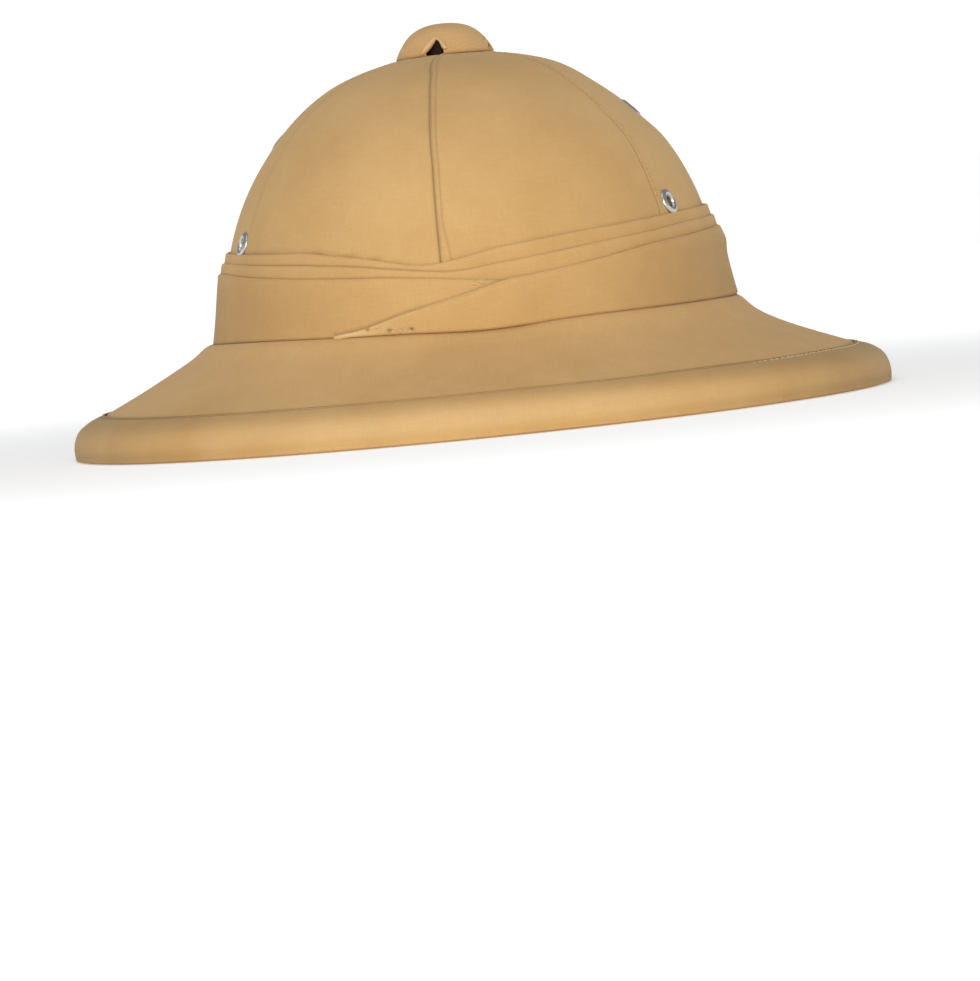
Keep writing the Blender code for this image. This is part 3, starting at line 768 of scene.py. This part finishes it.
# %% Brim cover
BRIM_COVER_CLOTH, PRESSED_EDGE, EDGE_SHADOW = 0.0009, 0.0004, 0.55
places = np.concatenate([np.linspace(5.06, 4.6, 10)[:-1], np.linspace(4.6, 0.2, 36)])
azimuth, place_grid = azimuths[None], places[:, None]
lift = UNEVEN * uneven(azimuth, place_grid * 0.01, 11)
at_stitch = brim_skin(azimuth, STITCH_ROW)
out_from_edge = np.linalg.norm(brim_skin(azimuth, place_grid) - at_stitch, axis=-1)
lift = lift - PRESSED_EDGE * (1 - ramp(out_from_edge, 0, 0.0016))
# Painted shadow of the binding's turned edge on the cover, just inside the stitch line.
wear = -EDGE_SHADOW * bump(out_from_edge, 0.0003, 0.0009)
points = brim_skin(azimuth, place_grid, lift)
brim_cloth = lay("brim_cloth", points, joined(points)[..., :2], brim_twill, "brim_twill",
                 ["brim_cover"], BRIM_COVER_CLOTH, closed=True, wear=wear)

# %% [markdown]
# ## Rim binding
# A strip of cloth is folded over the rim and sewn through. Its upper edge is turned under, so
# it stands about a millimetre proud of the brim there, and the pull of the thread leaves
# small puckers. It goes round the lip and a short way up inside.

# %% Binding
ROUND_FINE = 720
azimuths_fine = np.arange(ROUND_FINE) * 2 * np.pi / ROUND_FINE
EDGE_WAVE, SLOPE_STEP, PUCKERS = 0.0004, 0.012, 273
STITCH_PLACE, GROOVE_SHADE, SIDE_SHADE = 5.11, 0.75, 0.60


def thread_shows(azimuth):
    """Near 1 where the thread lies on the cloth, on the right and behind, near 0 where it is
    sunk in."""
    degrees = wrapped(np.degrees(azimuth))
    return 0.15 + 0.85 * ramp(degrees, 42, 16) + 0.6 * ramp(-degrees, 110, 30)


# Row number, lift in millimetres and wear, from the turned edge to inside the lip.
# The dark first rows are painted shade at the turned edge.
BINDING_SECTION = np.array((
    (5.030, -0.10, -0.9), (4.990, 0.05, -0.7), (4.985, 0.25, -0.3), (5.000, 0.42, 0.1), (5.030, 0.52, 0.2),
    (5.060, 0.52, 0.1), (5.085, 0.46, 0.0), (5.110, 0.34, 0.0), (5.135, 0.46, 0.0), (5.170, 0.56, 0.0),
    (5.250, 0.66, 0.0), (5.400, 0.74, 0.0), (5.700, 0.80, 0.0), (6.100, 0.74, 0.05), (6.600, 0.60, 0.15),
    (7.000, 0.45, 0.25), (7.350, 0.30, 0.3), (7.700, 0.20, 0.3), (8.000, 0.10, 0.25), (8.250, 0.10, 0.1),
    (8.500, 0.05, 0.0), (8.750, 0.0, 0.05), (8.900, -0.10, 0.2))) * (1, 0.001, 1)
# Distance inwards from the rim and height along the underside of the lip, in millimetres.
UNDER_LIP = np.array(((0.2, 0.6), (0.7, 0.2), (1.4, 0.0), (3.0, 0.0), (4.4, 0.0), (5.1, 0.3),
                      (5.4, 0.9))) / 1000
INSIDE_PLACES, INSIDE_LIFT = np.array((8.86, 8.7, 8.5, 8.3)), -0.0052
along, lift_row, wear_row = BINDING_SECTION.T[..., None]
azimuth = azimuths_fine[None]
wave = EDGE_WAVE * uneven(azimuth, 0.0, 21) / SLOPE_STEP
near_edge = np.clip(1 - (along - STITCH_ROW) / 0.6, 0, 1)
pucker = 0.00006 * np.sin(azimuth * PUCKERS) * bump(along, 5.20, 0.30)
pucker = pucker + UNEVEN * uneven(azimuth, along * 0.02, 31)
outer = brim_skin(azimuth, along + wave * near_edge, lift_row + pucker)
half_width, half_length, _ = brim_ring(LAST_ROW)
turn_under = [np.stack([(half_width - inwards) * np.sin(azimuths_fine),
                        -(half_length - inwards) * np.cos(azimuths_fine),
                        np.full(ROUND_FINE, height)], -1) for inwards, height in UNDER_LIP]
inside = brim_skin(azimuth, INSIDE_PLACES[:, None], INSIDE_LIFT)
points = np.concatenate([outer, np.array(turn_under), inside], 0)[::-1]
hidden_rows = len(UNDER_LIP) + len(INSIDE_PLACES)
across_strip = np.concatenate([wear_row, np.full((len(UNDER_LIP), 1), 0.15), np.zeros((4, 1))])
groove = bump(np.concatenate([along, np.full((hidden_rows, 1), LAST_ROW)]), STITCH_PLACE, 0.03)
# Painted shade: the stitch groove where the thread is sunk, and darker towards the left and right sides.
wear = (across_strip - GROOVE_SHADE * (1 - thread_shows(azimuth)) * groove
        - SIDE_SHADE * np.sin(azimuth) ** 2)[::-1]
lay_strip("rim_binding", points, binding_twill, "binding_twill", ["brim_binding"], COVER_CLOTH,
          hem=0.006, lap=0.015, rests_on=["board_shell", "brim_cloth"], closed=True, wear=wear)

# %% [markdown]
# ## Threads
# Stitches are what the eye looks for on sewn cloth. Each one is a short piece of thread that
# dips into the cloth at both ends. One function lays a stitch along any line of points, and
# all the stitches of one seam are joined into one mesh.

# %% Stitches
TWIST, THREAD_SIDES, STITCH_POINTS, STITCH_SUNK = 0.0003, 6, 7, 0.45


def cotton_thread(name, colour):
    """Twisted sewing cotton, slightly shiny, with the twist as fine slanting ribs."""
    material, tree, _ = new_material(name)
    flat = add(tree, "UVMap", {"uv_map": "flat_metres"}).outputs["UV"]
    slanted = stretch(tree, flat, Rotation=(0, 0, math.radians(35)))
    twist = add(tree, "TexWave", Vector=slanted, Scale=math.pi / 10 / TWIST, Distortion=0.4)
    tone = add(tree, "VectorMath", {"operation": "SCALE"}, Vector=linear(colour)[:3],
               Scale=remap(tree, twist.outputs["Fac"], to_low=0.8, to_high=1.05))
    surface(tree, Base_Color=tone.outputs[0], Roughness=0.7, IOR=1.5, Sheen_Weight=0.2,
            Normal=relief(tree, twist.outputs["Fac"], 0.5, 0.00005))
    return material


light_thread = cotton_thread("pale_sewing_cotton", "#E3C79A")
dark_thread = cotton_thread("tan_sewing_cotton", "#B88F57")


def tube_mesh(name, paths, radii, sides=THREAD_SIDES, flat_map=None):
    """The mesh of round threads, and its points. paths is (threads, points, 3) and radii
    (threads, points). flat_map turns the points into flat metres."""
    along = np.gradient(paths, axis=1)
    along /= np.linalg.norm(along, axis=-1, keepdims=True)
    side = np.cross(along, np.array((0.3, 0.2, 1.0)))
    side /= np.linalg.norm(side, axis=-1, keepdims=True)
    other = np.cross(along, side)
    turn = np.arange(sides) * 2 * np.pi / sides
    ring = side[:, :, None] * np.cos(turn)[:, None] + other[:, :, None] * np.sin(turn)[:, None]
    points = (paths[:, :, None] + ring * radii[:, :, None, None]).reshape(-1, 3)
    index = np.arange(len(points)).reshape(*paths.shape[:2], sides)
    after = np.roll(index, -1, axis=2)
    faces = np.stack([index[:, :-1], after[:, :-1], after[:, 1:], index[:, 1:]], -1).reshape(-1, 4)
    ends = np.concatenate([index[:, 0, ::-1], index[:, -1]], 0)
    mesh = bpy.data.meshes.new(name)
    mesh.from_pydata(points.tolist(), [], faces.tolist() + ends.tolist())
    layer = mesh.uv_layers.new(name="flat_metres")
    if flat_map:
        corner = np.zeros(len(mesh.loops), np.int32)
        mesh.loops.foreach_get("vertex_index", corner)
        layer.data.foreach_set("uv", flat_map(points)[corner].reshape(-1).astype(np.float32))
    return mesh, points


def stitch_mesh(name, starts, ends, outward, radius, rise):
    """Stitches from starts to ends, humped outwards by rise, their ends sunk in the cloth."""
    t = np.linspace(0, 1, STITCH_POINTS)
    hump = 4 * t * (1 - t)
    hump_out = (hump[None] - STITCH_SUNK) * np.broadcast_to(rise, len(starts))[:, None]
    paths = (starts[:, None] + (ends - starts)[:, None] * t[None, :, None]
             + outward[:, None] * hump_out[..., None])
    radii = np.broadcast_to(radius * (0.55 + 0.45 * hump ** 0.5), paths.shape[:2])
    length = float(np.linalg.norm(ends - starts, axis=1).mean())

    def along_and_round(points):
        number = np.arange(len(points))
        step = (number // THREAD_SIDES) % STITCH_POINTS / (STITCH_POINTS - 1) * length
        return np.stack([step, number % THREAD_SIDES * radius], -1)

    return tube_mesh(name, paths, radii, flat_map=along_and_round)[0]


def row_of_stitches(name, line, outward, pitch, gap, radius, rise, material, seed):
    """Even stitches along a line of points, with a sewer's small errors."""
    length = np.concatenate([[0], np.cumsum(np.linalg.norm(np.diff(line, axis=0), axis=1))])
    count = int(length[-1] / pitch)
    draw = np.random.default_rng(seed)
    begin = (np.arange(count) + 0.5 * gap) * pitch + draw.normal(0, 0.05 * pitch, count)
    finish = begin + (1 - gap) * pitch * draw.uniform(0.9, 1.08, count)

    def at(distance, values):
        return np.stack([np.interp(distance, length, values[:, k]) for k in range(3)], -1)

    middle = at((begin + finish) / 2, outward)
    mesh = stitch_mesh(name, at(begin, line), at(finish, line), middle, radius, rise)
    print(name, count, "stitches")
    finish_piece(name, mesh, material)


rim_azimuths = np.linspace(0, 2 * np.pi, 1500)
stitch_place = STITCH_PLACE + EDGE_WAVE * uneven(rim_azimuths, 0.0, 21) / SLOPE_STEP
sunk = 0.00060 * (1 - np.clip(thread_shows(rim_azimuths), 0, 1))
stitch_base = brim_skin(rim_azimuths, stitch_place, 0.00048 - sunk)
stitch_out = brim_skin(rim_azimuths, stitch_place, 1.0) - brim_skin(rim_azimuths, stitch_place)
row_of_stitches("rim_stitches", stitch_base, stitch_out, pitch=0.0034, gap=0.25, radius=0.00022,
                rise=0.0003, material=light_thread, seed=5)

for number in range(1, GORES + 1):
    heights = np.linspace(0.060, BRIM_RISE + CROWN_HEIGHT * float(crown_share(0.16)), 240)
    start = seam_azimuth(number - 1, heights)
    azimuth = start + topstitch_offset(heights) / crown_reach(start, heights)
    row_of_stitches(f"seam_stitches_{number}", crown_skin(azimuth, heights, 0.00004),
                    crown_out(azimuth, heights), pitch=0.0026, gap=0.3, radius=0.00016,
                    rise=0.00016, material=dark_thread, seed=60 + number)

# %% [markdown]
# ## The puggaree
# Each pleat is cloth folded back on itself, so its upper edge is round and soft, and there
# are two thicknesses of cloth. The grid runs up behind the fold, over its edge and down its
# face, so the fold is real in the mesh and the light draws its edge.

# %% Pleats


def folded_rows(low, high, near, far, back):
    """Heights, lifts and wear up the inside of a fold, over its round edge and down
    its face, with painted shade inside the fold and its round edge rubbed pale.
    low and high are arrays round the hat, near and far the lifts of its two faces."""
    radius = (far - near) / 2
    rows = []
    for share in np.linspace(0, 1, 5)[:-1]:
        rows.append((high - back * (1 - share) - radius * share, near + 0 * high, -0.4 * (1 - share)))
    for angle in np.linspace(0, np.pi, 9):
        rows.append((high - radius + radius * np.sin(angle), near + radius * (1 - np.cos(angle)),
                     0.15 * math.sin(angle)))
    for share in np.linspace(0, 1, 25)[1:]:
        height = high - radius - (high - radius - low) * share
        rows.append((height, far + 0 * high, 0.12 * (1 - share) ** 6))
    return rows


def as_grids(rows, like):
    """The heights, lifts and wear of a fold's rows as three grids."""
    return [np.array([np.broadcast_to(row[k], like.shape) for row in rows]) for k in range(3)]


def pleat(name, table, next_edge, near, far, seed, replaces):
    """A folded pleat all round the crown. next_edge is where the layer over it begins."""
    azimuth = azimuths_fine
    high = closed_edge(table, azimuth) + 0.00025 * uneven(azimuth, 0.0, seed)
    far = far - (far - near) * 0.55 * flat_part(azimuth)
    rows = folded_rows(next_edge - PLEAT_TUCK, high, near, far, PLEAT_BACK)
    heights, lifts, wear = as_grids(rows, azimuth)
    lifts = lifts + 0.00020 * uneven(azimuth[None], heights, seed + 1)
    points = crown_skin(azimuth[None], heights, lifts)
    # Painted shadow just above the edge of the layer that lies over this pleat.
    wear = wear + shade_over(azimuth, heights, next_edge)
    lay_strip(name, points, band_twill, "puggaree_twill", replaces, FOLD_CLOTH, BAND_HEM, BAND_LAP,
              ["crown_gore_1"], closed=True, wear=wear)


PLEAT_TUCK, PLEAT_BACK, FOLD_CLOTH = 0.004, 0.006, 0.0004
BAND_HEM, BAND_LAP = 0.004, 0.01
pleat("pleat_upper", UPPER_PLEAT_EDGE, closed_edge(MIDDLE_PLEAT_EDGE, azimuths_fine),
      near=0.00045, far=0.00120, seed=71, replaces=["puggaree_pleat_upper"])
pleat("pleat_middle", MIDDLE_PLEAT_EDGE, wrap_top(azimuths_fine),
      near=0.00140, far=0.00210, seed=81, replaces=["puggaree_pleat_middle"])

# %% [markdown]
# ## The wrap
# The broad end of the scarf goes once round and laps over itself in front, where its edge runs
# down in a long slant to a small pale tab at the foot. The strip is a spiral: it starts as
# that tab on top, and ends below its own start. Both its edges are folded under and the
# foot flares outwards. A few worn spots on it are dark.

# %% Wrap
WRAP_START, WRAP_END = -24.5, 373.0
WORN_SPOTS = ((-16.6, 0.0392), (-11.9, 0.0384), (-7.3, 0.0382), (5.4, 0.0508), (8.2, 0.0518))
NEAR, FAR, FLARE, FLARE_FROM, TURNED_IN = 0.0023, 0.0030, 0.0021, 0.7446, 0.0006
SHOULDER, SHOULDER_HEIGHT, SHOULDER_WIDTH = 0.0009, 0.0570, 0.0035
LAP_END, LAP_SOFT, LAP_LIFT, OWN_SHADE_FROM = 13.0, 9.0, 0.0009, 335
PALE_TAB, TAB_LENGTH, BAND_SIDE_SHADE, SPOT_DARK = 0.9, 17.0, 0.24, 1.3
turns = np.linspace(WRAP_START, WRAP_END, 1200)
azimuth = np.radians(turns)
wrap_low = foot_height(azimuth) - 0.0007 * (1 - ramp(turns, WRAP_START, 4.0))
wrap_high = np.zeros_like(turns)
for shift in (-2.0, -1.0, 0.0, 1.0, 2.0):
    wrap_high += edge_height(WRAP_EDGE, turns + shift) / 5
wrap_high = wrap_high + 0.0002 * uneven(azimuth, 0.0, 91)
wrap_high = np.maximum(wrap_high, wrap_low + 0.0012)
lap = eased((LAP_END + LAP_SOFT - turns) / LAP_SOFT)


def wrap_rows():
    """The scarf's section: behind, over the top fold, down the face, under the foot. Its
    wear is painted shade behind the fold and under the foot, rubbed pale over it.
    """
    rows = []
    radius = (FAR - NEAR) / 2
    for share in np.linspace(0, 1, 4)[:-1]:
        rows.append((wrap_high - PLEAT_BACK * (1 - share) - radius, NEAR + 0 * turns, -0.3))
    for angle in np.linspace(0, np.pi, 9):
        rows.append((wrap_high - radius + radius * np.sin(angle),
                     NEAR + radius * (1 - np.cos(angle)) + 0 * turns, 0.2 * math.sin(angle)))
    for share in np.linspace(0, 1, 41)[1:]:
        height = wrap_high - radius + (wrap_low + TURNED_IN - wrap_high + radius) * share
        low_share = 1 - (height - wrap_low) / (FLARE_FROM * PUGGAREE_HEIGHT)
        rows.append((height, FAR + FLARE * np.clip(low_share, 0, 1) ** 2.6, 0.1 * (1 - share) ** 8))
    foot = rows[-1][1]
    for angle in np.linspace(0, np.pi, 7)[1:]:
        rows.append((wrap_low + TURNED_IN - TURNED_IN * np.sin(angle),
                     foot - 0.0005 * (1 - np.cos(angle)), -0.5 * math.sin(angle / 2)))
    rows.append((wrap_low + 0.004, foot - 0.0012, -0.5))
    return rows


heights, lifts, wear = as_grids(wrap_rows(), turns)
lifts = lifts + LAP_LIFT * lap[None]
lifts = lifts + 0.00030 * uneven(azimuth[None], heights * 1.5, 95)
lifts = lifts + SHOULDER * sides(azimuth)[1] * bump(heights, SHOULDER_HEIGHT, SHOULDER_WIDTH)
points = crown_skin(azimuth[None], heights, lifts)
own_start = edge_height(WRAP_EDGE, turns - 360) + SHADE_RISE
# Painted shadow on the wrap's last turn, just above the edge of its first turn lying over it.
wear = wear + np.where(turns > OWN_SHADE_FROM, -0.5 * bump(heights, own_start, SHADE_WIDTH), 0)
# The tab is pale cloth; the band darkens towards the left and right sides as painted shade.
wear = wear + PALE_TAB * (1 - ramp(turns, WRAP_START, TAB_LENGTH)) - BAND_SIDE_SHADE * np.sin(azimuth) ** 2
for turn, height in WORN_SPOTS:
    wear = wear - SPOT_DARK * bump(turns, turn, 0.5) * bump(heights, height, 0.0005)
lay_strip("puggaree_scarf", points, band_twill, "puggaree_twill", ["puggaree_wrap"], FOLD_CLOTH,
          BAND_HEM, BAND_LAP, ["crown_gore_1", "pleat_middle"], wear=wear)

# %% [markdown]
# ## Frayed threads
# Beside the tab and at one worn place on the slanting fold the twill has frayed. Loose yarns
# lie over it, each a short thread bent by chance.

# %% Frayed yarns
FRAYED = ((-9.5, 0.0381, 3.2, 0.0008, 16), (-22.5, 0.0376, 1.6, 0.0006, 5),
          (6.8, 0.0513, 2.2, 0.0007, 8), (-14.5, 0.0398, 1.5, 0.0006, 5))
YARN_RADIUS, YARN_POINTS, YARN_LIFT = 0.00014, 8, 0.0064
HIGH_YARNS, HIGH_YARN_DROP = 0.045, 0.0018
draw = np.random.default_rng(17)
along = np.linspace(0, 1, YARN_POINTS)
yarns = []
for turn, height, spread, tall, count in FRAYED:
    for _ in range(count):
        from_turn = turn + draw.normal(0, spread / 2)
        from_height = height + draw.normal(0, tall / 2)
        bend = draw.uniform(-1, 1)
        reach = draw.choice((-1, 1)) * draw.uniform(0.3, 0.9)
        turn_line = from_turn + reach * along + 0.25 * bend * along ** 2
        height_line = from_height + draw.uniform(-0.0011, 0.0011) * along + 0.0005 * bend * along ** 2
        out_line = YARN_LIFT + draw.uniform(0.0, 0.0006) * np.sin(along * 2.4)
        out_line = out_line - HIGH_YARN_DROP * (from_height > HIGH_YARNS)
        yarns.append(crown_skin(np.radians(turn_line), height_line, out_line))
yarns = np.array(yarns)
radii = np.broadcast_to(YARN_RADIUS * (1 - 0.5 * along), yarns.shape[:2])
finish_piece("frayed_yarns", tube_mesh("frayed_yarns", yarns, radii)[0], light_thread)
print("frayed yarns:", len(yarns))

# %% [markdown]
# ## Ventilator cap
# A small domed cap sits over the air hole in the crown, with arched notches in its foot that
# let the air out. It is stiff card covered with the same twill, and the cloth is turned in at
# each notch, which leaves a soft round lip. The dome is a closed wall, and the notches are
# cut with four oval drills laid level from the middle outwards.

# %% Cap
CAP_RADIUS, CAP_WALL, CAP_HEM, CAP_ROUNDNESS = 0.0180, 0.0013, 0.0008, 2.14
CAP_TURN, NOTCHES, NOTCH_HALF, NOTCH_RISE = -7.5, 4, 0.0034, 0.0063
CAP_SINK, CAP_SHIFT, CAP_SLANT = 0.0014, -0.0012, 0.08
cap_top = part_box("ventilator_cap")[1].z - CAP_SINK
CAP_ROUND = 144
cap_azimuths = np.arange(CAP_ROUND) * 2 * np.pi / CAP_ROUND


def crown_top_height(x, y):
    """Height of the crown's skin over a point near its top."""
    return BRIM_RISE + CROWN_HEIGHT * crown_share(np.hypot(x / CROWN_HALF_WIDTH, y / CROWN_HALF_LENGTH))


def cap_point(azimuth, angle, radius=CAP_RADIUS, top=cap_top, lift=0.0):
    """A point of the cap's dome. angle is 0 at its foot and a quarter turn at its top."""
    azimuth, angle = np.broadcast_arrays(azimuth, angle)
    rise = np.sin(angle) ** (2 / CAP_ROUNDNESS)
    across = np.clip(np.cos(angle), 0, 1) ** (2 / CAP_ROUNDNESS) - CAP_SLANT * np.sin(np.pi * rise)
    across = across * (radius + lift)
    x, y = np.sin(azimuth), -np.cos(azimuth)
    hem = crown_top_height(radius * x + CAP_SHIFT, radius * y) + FOOT_CLEAR + CAP_HEM
    return np.stack([across * x + CAP_SHIFT, across * y, hem + (top + lift - hem) * rise], -1)


def cap_face(radius, top, rows):
    """One face of the cap, from its foot to its top."""
    body = cap_point(cap_azimuths[None], np.linspace(0, np.pi / 2, rows)[:, None], radius, top)
    hem_row = body[:1] - np.array((0, 0, CAP_HEM))
    return np.concatenate([hem_row, body[:-1]], 0)


FOOT_CLEAR, CAP_ROWS = 0.0002, 26
outer_face = cap_face(CAP_RADIUS, cap_top, CAP_ROWS)
inner_face = cap_face(CAP_RADIUS - CAP_WALL, cap_top - CAP_WALL, CAP_ROWS)
points = np.concatenate([inner_face[::-1], outer_face], 0)
# Painted shade: the inside of the cap is black and its foot rows are darkened.
wear = np.concatenate([np.full(CAP_ROWS, -1.0), [-0.8, -0.25], np.zeros(CAP_ROWS - 2)])[:, None]
mesh = grid_mesh("cap", points, joined(points)[..., :2], closed=True, wear=wear)
shape = bmesh.new()
shape.from_mesh(mesh)
corners = list(shape.verts)
for ring, top in ((corners[:CAP_ROUND], cap_top - CAP_WALL), (corners[-CAP_ROUND:], cap_top)):
    middle = shape.verts.new((CAP_SHIFT, 0, top))
    for k in range(CAP_ROUND):
        shape.faces.new((ring[k], ring[(k + 1) % CAP_ROUND], middle))
bmesh.ops.recalc_face_normals(shape, faces=shape.faces)
shape.to_mesh(mesh)
shape.free()
cap = finish_piece("cap_cloth", mesh, cap_twill, replaces=["ventilator_cap"])


def notch_azimuth(number):
    """Azimuth of a notch's middle."""
    return math.radians(CAP_TURN + 360 / NOTCHES * number)


drills = []
for number in range(NOTCHES):
    azimuth = notch_azimuth(number)
    outward = Vector((math.sin(azimuth), -math.cos(azimuth), 0))
    centre = outward * CAP_RADIUS
    centre.z = float(crown_top_height(centre.x, centre.y))
    centre.x += CAP_SHIFT
    squeeze = Matrix.Scale(NOTCH_HALF / NOTCH_RISE, 4, (math.cos(azimuth), math.sin(azimuth), 0))
    turned_out = outward.to_track_quat("Z", "Y").to_matrix().to_4x4()
    drills.append(drill(NOTCH_RISE, CAP_RADIUS, 48, Matrix.Translation(centre) @ squeeze @ turned_out))
cut_out(cap, drills)

# %% [markdown]
# ## Lips of the notches
# Round each notch the cover is folded in and glued, thicker on one side than on the other.
# Each lip is a tapered roll that climbs one side of the notch, turns over its top and ends
# as a small tongue on the other side.

# %% Notch lips
LIP_ROWS = np.array(((-5.0, 0.2, 0.70), (-3.6, 1.7, 1.15), (-2.2, 3.4, 1.25), (-0.9, 5.1, 1.00),
                     (0.3, 6.3, 0.60), (2.0, 5.2, 0.50), (3.0, 3.7, 0.75), (3.7, 2.3, 1.00),
                     (4.5, 1.2, 0.60))) / 1000
LIP_SIDES, LIP_HIGHLIGHT, LIP_SHADE = 12, 0.45, 0.85
FRONT_LIP, OTHER_LIPS = (1.0, 0.0001), (0.7, -0.0007)


def lip_path(number, count=36):
    """Points on the dome along the lip of a notch, the roll's radius there and the way out.
    The rows give the distance across, the height and the radius."""
    row = np.linspace(0, len(LIP_ROWS) - 1, count)
    across, height, radius = (np.interp(row, np.arange(len(LIP_ROWS)), LIP_ROWS[:, k]) for k in range(3))
    azimuth = notch_azimuth(number) + across / CAP_RADIUS
    tall = cap_top - float(crown_top_height(CAP_RADIUS, 0))
    angle = np.arcsin(np.clip(height / tall, 0, 1) ** (CAP_ROUNDNESS / 2))
    plump, lift = OTHER_LIPS if number else FRONT_LIP
    out = cap_point(azimuth, angle, lift=0.001) - cap_point(azimuth, angle)
    out /= np.linalg.norm(out, axis=-1, keepdims=True)
    return cap_point(azimuth, angle, lift=lift), radius * plump, out


for number in range(NOTCHES):
    path, radius, out = lip_path(number)
    mesh, points = tube_mesh("notch_lip", path[None], radius[None], LIP_SIDES, lambda p: p[:, (0, 2)])
    spoke = points.reshape(-1, LIP_SIDES, 3) - path[:, None]
    proud = np.clip((spoke * out[:, None]).sum(-1) / radius[:, None], 0, 1)
    # Painted highlight on the side of the roll that faces out, painted shade on its flanks.
    set_wear(mesh, LIP_HIGHLIGHT * proud ** 2 - LIP_SHADE * (1 - proud) ** 2)
    finish_piece(f"notch_lip_{number + 1}", mesh, cap_twill)
print("lips:", NOTCHES)

# %% [markdown]
# ## Eyelets
# Each eyelet is a thin brass tube, nickel plated, pressed through cloth and board and rolled
# over at both ends. Its section is a short list of radius and height, turned round the axis.

# %% Eyelets


def nickel(name):
    """Bright nickel plate with faint tarnish in clouds."""
    material, tree, place = new_material(name)
    cloud = noise(tree, place, 900.0, Detail=4.0)
    surface(tree, Base_Color=mixed(tree, cloud, linear("#D8D5CE"), linear("#B9B4AB")), Metallic=1.0,
            Roughness=remap(tree, cloud, to_low=0.26, to_high=0.44))
    return material


nickel_plate = nickel("nickel_plated_brass")
# Radius and height of an eyelet's section, in millimetres.
EYELET_SECTION = np.array((
    (2.3, 0.0), (2.3, 0.7), (2.4, 1.1), (2.7, 1.55), (3.2, 1.8), (3.7, 1.78), (4.2, 1.55), (4.7, 1.2),
    (4.9, 0.8), (4.8, 0.3), (4.4, 0.15), (2.8, 0.2), (2.8, -4.8), (3.7, -4.8), (3.9, -5.1), (3.3, -5.6),
    (2.6, -5.5), (2.3, -5.0))) / 1000
EYELET_ROUND = 48
turn = np.arange(EYELET_ROUND) * 2 * np.pi / EYELET_ROUND
radius, height = EYELET_SECTION.T[..., None]
ring = np.stack([radius * np.cos(turn), radius * np.sin(turn), np.repeat(height, EYELET_ROUND, 1)], -1)
for number, (seat, out) in enumerate(eyelets, 1):
    matrix = np.array(standing(seat, out))
    points = ring @ matrix[:3, :3].T + matrix[:3, 3]
    lay(f"eyelet_ring_{number}", points[::-1], flat_lengths(points, True, True), nickel_plate,
        "nickel_plate", [f"eyelet_{number}"], closed=True, tube=True)

# %% [markdown]
# ## Last lines
# The box of the dressed hat is printed.

# %% Sizes and finish
low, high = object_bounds()
print("dressed:", [round((b - a) * 1000, 1) for a, b in zip(low, high)], "mm")
